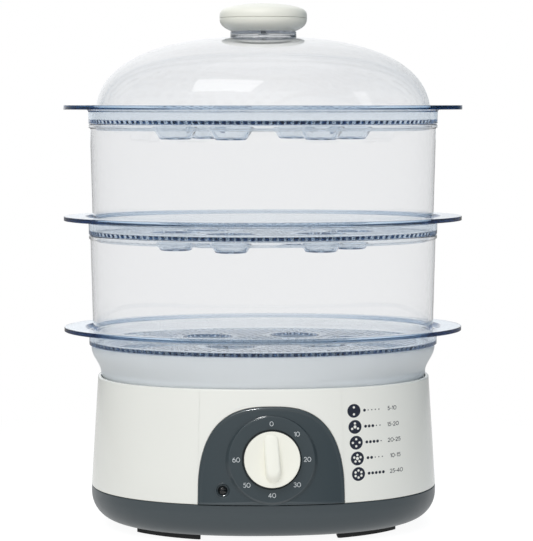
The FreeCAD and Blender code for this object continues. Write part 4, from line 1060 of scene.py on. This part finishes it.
class STEAMER_OT_steam_trays(bpy.types.Operator):
    """Three blue-tinted trays: wide oval flange, recess, perforated floor and six egg cups"""

    bl_idname = "steamer.steam_trays"
    bl_label = "Steam trays"

    # Centres of the egg cups of one half in millimetres; the other half is turned round.
    cups = ((26, 38), (41, -30), (66, 6))

    def execute(self, context):
        sizes, finish = context.scene.steamer_tiers, blue_san()
        for tier in TIERS:
            node = "steam_tray_" + tier
            flange = high_z(node) - sizes.flange_thick / 2
            parts = self.tray(sizes, half_x(node), half_y(node))
            parts = [(points + (0, 0, flange), faces) for points, faces in parts]
            piece(node + "_looks", parts, finish, "tray_" + tier, "clear_tray", node)
        return {"FINISHED"}

    def tray(self, sizes, rim_a, rim_b):
        """Parts of one tray round the origin, at height 0 of its flange's middle plane."""
        bowl_a = half_x("food_bowl_lower") - sizes.bead_width
        bowl_b = half_y("food_bowl_lower") - sizes.bead_width
        wall_a, wall_b = bowl_a + sizes.recess_gap, bowl_b + sizes.recess_gap
        half, floor = sizes.flange_thick / 2, -sizes.floor_depth
        under, inner = floor - sizes.floor_thick, wall_a - 2.1 * MM
        lip = bowl_a - sizes.wall - sizes.lip_fit
        lip_in, lip_end = lip - sizes.lip_thick, under - sizes.lip_height
        hem_a = lip_in - 1.2 * MM
        hem_b = wall_b - (wall_a - hem_a)
        a, z = rounded([
            (hem_a, under, 0), (lip_in, under, 0.3 * MM), (lip_in, lip_end, 0.6 * MM),
            (lip, lip_end, 0.6 * MM), (lip, under, 0.4 * MM), (wall_a - 0.2 * MM, under, 0.5 * MM),
            (wall_a, -half, sizes.wall_fillet), (rim_a, -half, sizes.rim_round),
            (rim_a, half, sizes.rim_round), (wall_a + 2.6 * MM, half, 1 * MM), (inner, -3 * MM, 2 * MM),
            (inner, floor, 0.7 * MM), (wall_a - 3.2 * MM, floor, 0)], support=0.3 * MM).T
        # The flange is wider along X than along Y: its half depth follows its half length.
        round_in = 1.44 * MM
        b = np.interp(a, (hem_a, wall_a, wall_a + 12.5 * MM, rim_a - round_in, rim_a),
                      (hem_b, wall_b, rim_b - 1.95 * MM, rim_b - round_in, rim_b))
        grid = ovals(np.stack([a, b, z, 0 * z], 1))
        low_edge, high_edge = grid[0, :, :2], grid[-1, :, :2]
        cups = [(side * x * MM, side * y * MM) for side in (1, -1) for x, y in self.cups]
        steam = self.steam_holes(sizes, hem_a, hem_b, cups)
        pockets, pocket_feet = (self.pockets(sizes, *high_edge.max(0), slope)
                                for slope in (0, sizes.pocket_depth))
        cup, mouth_r, root_r = self.egg_cup(sizes, floor, under)
        mouths, roots = ([circle(x, y, r, 48) for x, y in cups] for r in (mouth_r, root_r))
        parts = [skin(grid), sheet(low_edge, steam + roots, under, up=False),
                 sheet(high_edge, steam + pockets + mouths, floor)]
        parts += [skin(cup + (x, y, 0)) for x, y in cups]
        parts += [well(loop, floor, under) for loop in steam]
        parts += [well(loop, floor, floor - sizes.pocket_depth, foot)
                  for loop, foot in zip(pockets, pocket_feet)]
        return parts

    def egg_cup(self, sizes, floor, under):
        """Tapered cup with a hole in its foot, and its radii at the floor's two faces."""
        foot, hole = floor - sizes.cup_depth, 3 * MM
        bottom, foot_in = foot + sizes.cup_wall, sizes.cup_foot_r - sizes.cup_wall
        mouth = sizes.cup_r - sizes.cup_wall
        slope = (sizes.cup_r - sizes.cup_foot_r) / sizes.cup_depth
        mouth_r, root_r = mouth + 0.8 * MM, sizes.cup_r - slope * sizes.floor_thick
        profile = rounded([
            (mouth_r, floor, 0), (mouth - 0.4 * MM, floor, 0.6 * MM), (foot_in, bottom, 2 * MM),
            (hole, bottom, 0.3 * MM), (hole, foot, 0.3 * MM), (sizes.cup_foot_r, foot, 2 * MM),
            (root_r, under, 0)], steps=4)
        return lathe(profile, 48), mouth_r, root_r

    def pockets(self, sizes, a, b, slope):
        """Loops of the shallow pockets side by side along the edge of the floor, an oval of a and b.

        Their outer end is drawn in by `slope`, and their widths go through 1, 2/3 and 5/6 in turn."""
        half, corner = sizes.pocket_length / 2, 0.5 * MM
        inset = half + 0.9 * MM
        t = np.linspace(0, 2 * math.pi, 2000)
        run = np.cumsum(np.hypot(np.diff(a * np.cos(t), prepend=a), np.diff(b * np.sin(t), prepend=0)))
        count = int(run[-1] / sizes.pocket_pitch)
        t = np.interp(np.arange(count) / count * run[-1], run, t)
        base = np.stack([(a - inset) * np.cos(t), (b - inset) * np.sin(t)], -1)
        out = np.stack([np.cos(t) / a, np.sin(t) / b], -1)
        out /= np.hypot(*out.T)[:, None]
        side = np.stack([-out[:, 1], out[:, 0]], -1)
        u, v, end = half, sizes.pocket_width / 2, half - slope
        shape = np.array([
            (end, corner - v), (end, v - corner), (end - corner, v), (corner - u, v),
            (-u, v - corner), (-u, corner - v), (corner - u, -v), (end - corner, -v)])
        width = np.array((1, 2 / 3, 5 / 6))[np.arange(count) % 3, None, None]
        return list(base[:, None] + shape[:, :1] * out[:, None] + width * shape[:, 1:] * side[:, None])

    def steam_holes(self, sizes, a, b, cups):
        """Loops of the floor's steam holes on a staggered grid, inside an oval of a and b."""
        pitch, edge = sizes.hole_pitch, 3.5 * MM + sizes.hole_r
        i, j = np.meshgrid(np.arange(-18, 19), np.arange(-16, 17))
        x = (i + 0.5 * (j % 2)) * pitch
        y = j * pitch * math.sqrt(0.75)
        inside = (x / (a - edge)) ** 2 + (y / (b - edge)) ** 2 < 1
        for cx, cy in cups:
            inside &= np.hypot(x - cx, y - cy) > sizes.cup_r + sizes.hole_r + 1.3 * MM
        return [circle(px, py, sizes.hole_r, 10) for px, py in zip(x[inside], y[inside])]


class STEAMER_OT_food_bowls(bpy.types.Operator):
    """Two clear drafted bowls, open at both ends, with a bead round their top edge"""

    bl_idname = "steamer.food_bowls"
    bl_label = "Food bowls"

    def execute(self, context):
        sizes, finish = context.scene.steamer_tiers, clear_san()
        wall, draft, hem = sizes.bowl_wall, sizes.bowl_draft, sizes.bowl_draft + 1 * MM
        for tier in TIERS[:2]:
            node = "food_bowl_" + tier
            low, top = low_z(node), high_z(node)
            neck, bead = top - sizes.bead_height, sizes.bowl_out - sizes.bead_width
            inset, z = rounded([
                (hem, low, 0), (draft, low, 0.5 * MM), (0.1 * MM, neck, 0.5 * MM),
                (bead, neck, 1.1 * MM), (bead, top, 1.1 * MM), (wall, top, 0.5 * MM),
                (wall + draft, low, 0.5 * MM), (hem, low, 0)]).T
            out = sizes.bowl_out - sizes.bead_width - inset
            grid = ovals(np.stack([half_x(node) + out, half_y(node) + out, z, 0 * z], 1))
            piece(node + "_looks", [skin(grid)], finish, "bowl_" + tier, "clear_bowl", node)
        return {"FINISHED"}


# ---------------------------------------------------------------- lid


class STEAMER_OT_lid(bpy.types.Operator):
    """Clear domed lid with a short round neck under its knob"""

    bl_idname = "steamer.lid"
    bl_label = "Lid"

    def execute(self, context):
        sizes, wall = context.scene.steamer_lid, context.scene.steamer_tiers.wall
        a, b, top = half_x("lid_dome"), half_y("lid_dome"), high_z("lid_dome")
        neck_r, under, bore = sizes.neck_r, top - wall, sizes.screw_r + 0.25 * MM
        hollow = neck_r - wall - sizes.neck_rim
        outer = self.dome(sizes, 0, neck_r + 0.8 * MM)
        inner = self.dome(sizes, wall, hollow)[::-1]
        # Angles of the dome's columns on the neck, so that both share their edge.
        t = np.linspace(0, 2 * math.pi, outer.shape[1], endpoint=False)
        around = np.arctan2(b * np.sin(t), a * np.cos(t))
        c, s = np.cos(around), np.sin(around)
        r, z = rounded([
            (neck_r, top - 2.5 * MM, 0), (neck_r, top, 0.6 * MM), (bore, top, 0.2 * MM),
            (bore, under, 0.2 * MM), (hollow, under, 0.8 * MM),
            (hollow, under - 1.5 * MM, 0)]).T[:, :, None]
        neck = np.stack([r * c, r * s, z + 0 * c], -1)
        root = np.stack([neck_r * c, neck_r * s, outer[-1, :, 2] + 0.9 * MM], -1)
        soft = 0.7 * root + 0.3 * outer[-1]
        soft[:, 2] = outer[-1, :, 2] + 0.28 * MM
        grid = np.concatenate([outer, [soft, root], neck, inner])
        piece("lid_dome_looks", [skin(grid, ring=True)], bpy.data.materials["SAN moulded clear"],
              "lid", "clear_bowl", "lid_dome")
        return {"FINISHED"}

    def dome(self, sizes, inset, stop):
        """Grid of half a superellipsoid from its foot to a circle of radius `stop`.

        At angle t the plan is an ellipse of rho = cos(t)^(2/n) times the foot's, and the height
        is h sin(t)^(2/n); each column ends where its own plan radius is the circle's."""
        a, b, h = half_x("lid_dome") - inset, half_y("lid_dome") - inset, sizes.height - inset
        n = sizes.squareness
        turn = np.linspace(0, 2 * math.pi, 288, endpoint=False)
        x, y = a * np.cos(turn), b * np.sin(turn)
        last = np.arccos((stop / np.hypot(x, y)) ** (n / 2))
        # Even steps of the way up the outline crowd the shoulder, where it bends most.
        even = np.linspace(0, math.pi / 2, 400)
        rho, rise = np.cos(even) ** (2 / n) * a, np.sin(even) ** (2 / n) * h
        run = np.append(0, np.cumsum(np.hypot(np.diff(rho), np.diff(rise))))
        t = np.interp(np.linspace(0, 1, 56)[:, None] * np.interp(last, even, run), run, even)
        rho = np.cos(t) ** (2 / n)
        return np.stack([x * rho, y * rho, low_z("lid_dome") + h * np.sin(t) ** (2 / n)], -1)


class STEAMER_OT_lid_knob(bpy.types.Operator):
    """Lid knob in two halves with a fine seam: rounded base and crowned cap"""

    bl_idname = "steamer.lid_knob"
    bl_label = "Lid knob"

    def execute(self, context):
        sizes, finish = context.scene.steamer_lid, bpy.data.materials["ABS moulded ivory"]
        r, wall = half_x("lid_knob_base"), sizes.knob_wall
        low, top = low_z("lid_knob_base"), high_z("lid_knob_cap")
        seam = low + sizes.knob_seam
        for half, part in (("base", self.base(sizes, r, wall, low, seam)),
                           ("cap", self.cap(sizes, r, wall, seam + 0.2 * MM, top))):
            node = "lid_knob_" + half
            piece(node + "_looks", [part], finish, "lid", "knob_ivory", node)
        return {"FINISHED"}

    def base(self, sizes, r, wall, low, seam):
        """Cup: rho = r (1 - taper s^2.7), with s from 0 at the seam to 1 at the underside."""
        share = np.linspace(1, 0.06, 16)
        rho = r * (1 - sizes.knob_taper * share ** 2.7)
        outside = np.column_stack([rho, seam - share * (seam - low), 0 * rho])
        # Only the first of these points, at the underside, is a rounded corner.
        outside[0, 2] = 1.2 * MM
        bore, boss, floor, inner = sizes.screw_r + 0.05 * MM, 5 * MM, low + wall, r - wall
        profile = rounded([
            (bore, low, 0), *outside, (r, seam, 0.25 * MM), (inner, seam, 0.2 * MM),
            (inner, seam - 4 * MM, 3 * MM), (rho[4] - wall, floor, 2 * MM), (boss, floor, 0.6 * MM),
            (boss, seam, 0.3 * MM), (bore, seam, 0)], steps=6)
        return skin(lathe(profile, 160), ring=True)

    def cap(self, sizes, r, wall, start, top):
        """Crowned cap on a spigot: (rho / r)^round + s^crown = 1, s being 0 at the seam and 1 on top."""
        share = np.sin(np.linspace(0.12, math.pi / 2, 22))
        rho = r * (1 - share ** sizes.knob_crown) ** (1 / sizes.knob_round)
        rho[-1] = 0
        over = np.column_stack([rho, start + share * (top - start)])
        spigot, under, roof = r - wall - 0.25 * MM, start - 2.5 * MM, top - wall
        bore = spigot - 1.8 * MM
        side = rounded([
            (bore, under, 0), (spigot, under, 0.3 * MM), (spigot, start, 0), (r, start, 0.25 * MM),
            (*over[0], 0)], steps=6)
        inside = rounded([
            (0, roof, 0), (0.55 * r, roof - 1.6 * MM, 6 * MM), (bore, start + 1 * MM, 2 * MM),
            (bore, under, 0)], steps=6)
        return skin(lathe(np.concatenate([side, over[1:], inside]), 160))


class STEAMER_OT_fittings(bpy.types.Operator):
    """Finishes of the parts that keep their CAD shape: feet, screws, tank, heater, timer works"""

    bl_idname = "steamer.fittings"
    bl_label = "Fittings"

    def execute(self, context):
        table = (
            (black_rubber(), ("foot_front_left", "foot_front_right",
                              "foot_rear_left", "foot_rear_right")),
            (white_pp(), ("water_tank",)),
            (ground_stainless(), ("heating_plate", "heating_element", "timer_shaft")),
            (zinc_steel(), ("base_screws", "timer_plate", "timer_screws", "timer_bell", "heater_bracket",
                            "heater_screws", "lid_screw")),
            (bpy.data.materials["Nylon moulded black"], ("timer_case", "terminal_block", "thermostat")),
            (grey_silicone(), ("heater_gasket",)),
            (lamp_glass(), ("indicator_lamp", "thermal_fuse")),
        )
        for finish, nodes in table:
            for node in nodes:
                slots = frame["nodes"][node].material_slots
                for k in range(len(slots)):
                    slots[k].material = finish
        return {"FINISHED"}


# ---------------------------------------------------------------- studio


def straight_on(tree, path):
    """1 for rays straight from the camera or through glass, 0 for all others."""
    return add(tree, "ShaderNodeMath", {
        0: path.outputs["Is Camera Ray"], 1: path.outputs["Is Transmission Ray"]},
        operation="MAXIMUM").outputs[0]


class STEAMER_OT_studio(bpy.types.Operator):
    """Pale floor, soft studio light and the camera"""

    bl_idname = "steamer.studio"
    bl_label = "Studio"

    def execute(self, context):
        scene, studio = context.scene, context.scene.steamer_studio
        self.floor(studio)
        self.world(scene, studio)
        self.softbox("Key", studio.key, (-0.6, -1.25, 1.75), (0, 0, 0.15), 1.1, 0.8)
        self.softbox("Top", studio.top, (0.1, -0.1, 1.9), (0, 0, 0.2), 1.2, 1.2)
        self.softbox("Fill", studio.fill, (1.7, -1.0, 0.9), (0, 0, 0.2), 0.3, 1.1)
        spark = self.softbox("Spark", studio.spark, (-0.27, -1.3, 1.55), (0, 0, 0.08), 0.36, 0.16)
        self.limit(spark, "control_panel_looks", "indicator_lens_looks")
        self.camera(scene, studio)
        scene.view_settings.view_transform = "Standard"
        scene.view_settings.look = "None"
        # Light runs many times round inside a clear rim before it comes out.
        rounds = 28
        scene.cycles.max_bounces = rounds
        scene.cycles.glossy_bounces = rounds
        scene.cycles.transmission_bounces = rounds
        scene.cycles.transparent_max_bounces = rounds
        scene.cycles.diffuse_bounces = 6
        return {"FINISHED"}

    def camera(self, scene, studio):
        """Camera on a circle round the tower's axis, a small step aside, tipped down by its pitch."""
        lens = bpy.data.cameras.new("Camera")
        lens.lens, lens.sensor_width, lens.sensor_fit = studio.lens, 36.0, "AUTO"
        camera = bpy.data.objects.new("Camera", lens)
        c, s = math.cos(studio.azimuth), math.sin(studio.azimuth)
        camera.location = (studio.distance * s + studio.sideways * c,
                           AXIS_Y - studio.distance * c + studio.sideways * s, studio.height)
        camera.rotation_euler = (math.pi / 2 - studio.pitch, 0, studio.azimuth)
        scene.collection.objects.link(camera)
        scene.camera = camera

    def floor(self, studio):
        """Matt white floor that glows by its own emission, as a light of the studio, with a painted
        shadow close to the object.

        Its glow has three strengths: for the camera and through glass, where it is white and dims a
        little close to the object as a painted shadow; in reflections, where it fades with distance;
        and on matt surfaces, where it fades close to the object and to both sides. A faint grey colour
        close to the object lets the lamps' real shadow show there too."""
        made, tree, place = fresh("Acrylic sheet matt white")
        _, normal = relief(tree, place, 1.2 * MM, 2.0, 0.01 * MM, strength=0.5)
        away = add(tree, "ShaderNodeVectorMath", {0: place}, operation="LENGTH").outputs["Value"]
        across = add(tree, "ShaderNodeSeparateXYZ", {0: place}).outputs["X"]
        near, thrown, right, left = (
            add(tree, "ShaderNodeMapRange", {
                "Value": value, "From Min": start, "From Max": end, "To Min": first, "To Max": last},
                interpolation_type="SMOOTHSTEP").outputs["Result"]
            for value, start, end, first, last in (
                (away, 0.6, 0.15, 0.0, 1.0), (away, 0.7, 1.4, studio.floor_light, studio.floor_far),
                (across, 0.05, 0.4, 1.0, 0.35), (across, -0.05, -0.4, 1.0, 0.5)))
        # The glow the camera sees is dimmed close to the object, a painted shadow; the other is the glow
        # that lights matt surfaces.
        seen_with_painted_shadow, level = (
            add(tree, "ShaderNodeMapRange", {
                "Value": near, "To Min": far, "To Max": close}).outputs["Result"]
            for far, close in ((1.0, studio.painted_floor_shadow), (studio.floor_soft, studio.floor_shade)))
        sides = add(tree, "ShaderNodeMath", {0: left, 1: right}, operation="MULTIPLY")
        matt = add(tree, "ShaderNodeMath", {0: sides.outputs[0], 1: level}, operation="MULTIPLY")
        path = add(tree, "ShaderNodeLightPath")
        soft = add(tree, "ShaderNodeMix", {
            0: path.outputs["Is Diffuse Ray"], 2: thrown, 3: matt.outputs[0]})
        glow = add(tree, "ShaderNodeMix", {0: straight_on(tree, path), 2: soft.outputs[0], 3: seen_with_painted_shadow})
        paint = add(tree, "ShaderNodeMix", {
            0: near, 6: (0.0, 0.0, 0.0, 1.0), 7: (0.2, 0.2, 0.2, 1.0)}, data_type="RGBA")
        shader = add(tree, "ShaderNodeBsdfPrincipled", {
            "Base Color": paint.outputs[2], "Roughness": 1.0, "Specular IOR Level": 0.0,
            "Normal": normal, "Emission Color": (1.0, 1.0, 1.0, 1.0),
            "Emission Strength": glow.outputs[0]})
        add(tree, "ShaderNodeOutputMaterial", {"Surface": shader.outputs[0]})
        mesh = bpy.data.meshes.new("floor")
        reach = 14.0
        corners = [(x * reach, y * reach, 0) for x, y in ((-1, -1), (1, -1), (1, 1), (-1, 1))]
        mesh.from_pydata(corners, [], [(0, 1, 2, 3)])
        mesh.materials.append(made)
        floor = bpy.data.objects.new("floor", mesh)
        bpy.context.scene.collection.objects.link(floor)

    def world(self, scene, studio):
        """White backdrop straight ahead and through glass; grey walls for light and reflections.

        The walls grow lighter upwards. Screens darken them at the right, at the left and
        overhead, and a low one in front keeps rims and dark plastic free of veiling reflections.
        Each screen is 0 to 1 over its ranges of the direction, and the last figure is how much of
        it matt surfaces feel."""
        world = bpy.data.worlds.new("Studio")
        world.use_nodes = True
        scene.world = world
        tree = world.node_tree
        tree.nodes.clear()
        white = (1.0, 1.0, 1.0, 1.0)
        screens = (
            ((("X", 0.0, 0.7),), (0.06, 0.10, 0.13, 1.0), 1.0),
            ((("X", -0.2, -0.85),), (0.24, 0.27, 0.28, 1.0), 1.0),
            ((("Z", 0.5, 1.0),), (0.55, 0.56, 0.57, 1.0), 1.0),
            ((("Y", -0.25, -0.75), ("Z", 0.38, 0.1)), (0.30, 0.31, 0.32, 1.0), 0.0),
        )
        path = add(tree, "ShaderNodeLightPath")
        diffuse = path.outputs["Is Diffuse Ray"]
        direction = add(tree, "ShaderNodeTexCoord").outputs["Generated"]
        parts = add(tree, "ShaderNodeSeparateXYZ", {0: direction})
        rise = add(tree, "ShaderNodeMapRange", {
            "Value": parts.outputs["Z"], "From Min": -0.2, "From Max": 0.9})
        walls = add(tree, "ShaderNodeMix", {
            0: rise.outputs["Result"], 6: (0.78, 0.80, 0.82, 1.0), 7: white}, data_type="RGBA")
        for edges, shade, matt in screens:
            share = add(tree, "ShaderNodeMix", {0: diffuse, 2: 1.0, 3: matt})
            for axis, start, end in edges:
                there = add(tree, "ShaderNodeMapRange", {
                    "Value": parts.outputs[axis], "From Min": start, "From Max": end},
                    interpolation_type="SMOOTHSTEP")
                share = add(tree, "ShaderNodeMath", {
                    0: share.outputs[0], 1: there.outputs["Result"]}, operation="MULTIPLY")
            dark = add(tree, "ShaderNodeMix", {
                0: share.outputs[0], 6: white, 7: shade}, data_type="RGBA")
            walls = add(tree, "ShaderNodeMix", {0: 1.0, 6: walls.outputs[2], 7: dark.outputs[2]},
                        data_type="RGBA", blend_type="MULTIPLY")
        power = add(tree, "ShaderNodeMix", {0: diffuse, 2: studio.walls, 3: studio.matt_walls})
        soft = add(tree, "ShaderNodeBackground", {
            "Color": walls.outputs[2], "Strength": power.outputs[0]})
        backdrop = add(tree, "ShaderNodeBackground", {"Color": white, "Strength": 1.0})
        mixed = add(tree, "ShaderNodeMixShader", {
            0: straight_on(tree, path), 1: soft.outputs[0], 2: backdrop.outputs[0]})
        add(tree, "ShaderNodeOutputWorld", {"Surface": mixed.outputs[0]})

    def softbox(self, name, power, place, aim, width, height):
        """Rectangular soft light at a place, turned towards an aim."""
        light = bpy.data.lights.new(name, "AREA")
        light.shape, light.size, light.size_y, light.energy = "RECTANGLE", width, height, power
        box = bpy.data.objects.new(name, light)
        box.location = place
        box.rotation_euler = (Vector(place) - Vector(aim)).to_track_quat("Z", "Y").to_euler()
        box.visible_camera = False
        box.visible_transmission = False
        bpy.context.scene.collection.objects.link(box)
        return box

    def limit(self, box, *names):
        """Let a light show only as a highlight, and only on the named pieces."""
        lit = bpy.data.collections.new(box.name)
        for name in names:
            lit.objects.link(bpy.data.objects[name])
        box.light_linking.receiver_collection = lit
        box.visible_diffuse = False


# ---------------------------------------------------------------- sidebar and running

OPERATORS = (
    STEAMER_OT_housing, STEAMER_OT_shell, STEAMER_OT_panel, STEAMER_OT_figures,
    STEAMER_OT_chart, STEAMER_OT_timer_knob, STEAMER_OT_drip_tray, STEAMER_OT_steam_trays,
    STEAMER_OT_food_bowls, STEAMER_OT_lid, STEAMER_OT_lid_knob, STEAMER_OT_fittings,
    STEAMER_OT_studio,
)
GROUPS = {
    "steamer_base": BaseSizes, "steamer_tiers": TierSizes, "steamer_lid": LidSizes,
    "steamer_colours": Colours, "steamer_studio": StudioSettings,
}


class STEAMER_PT_sidebar(bpy.types.Panel):
    """Lists the steamer's pieces and sizes"""

    bl_idname = "STEAMER_PT_sidebar"
    bl_label = "Food steamer"
    bl_space_type = "VIEW_3D"
    bl_region_type = "UI"
    bl_category = "Steamer"

    def draw(self, context):
        for operator in OPERATORS:
            self.layout.operator(operator.bl_idname)
        for name in GROUPS:
            box = self.layout.box()
            for key in getattr(context.scene, name).bl_rna.properties.keys():
                if key not in ("rna_type", "name"):
                    box.prop(getattr(context.scene, name), key)


def register():
    for group in GROUPS.values():
        bpy.utils.register_class(group)
    for name, group in GROUPS.items():
        setattr(bpy.types.Scene, name, bpy.props.PointerProperty(type=group))
    for item in OPERATORS + (STEAMER_PT_sidebar,):
        bpy.utils.register_class(item)


def unregister():
    for item in OPERATORS + (STEAMER_PT_sidebar,):
        bpy.utils.unregister_class(item)
    for name, group in GROUPS.items():
        delattr(bpy.types.Scene, name)
        bpy.utils.unregister_class(group)


def main():
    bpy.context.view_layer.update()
    register()
    for operator in OPERATORS:
        group, name = operator.bl_idname.split(".")
        getattr(getattr(bpy.ops, group), name)()


if __name__ == "__main__":
    main()
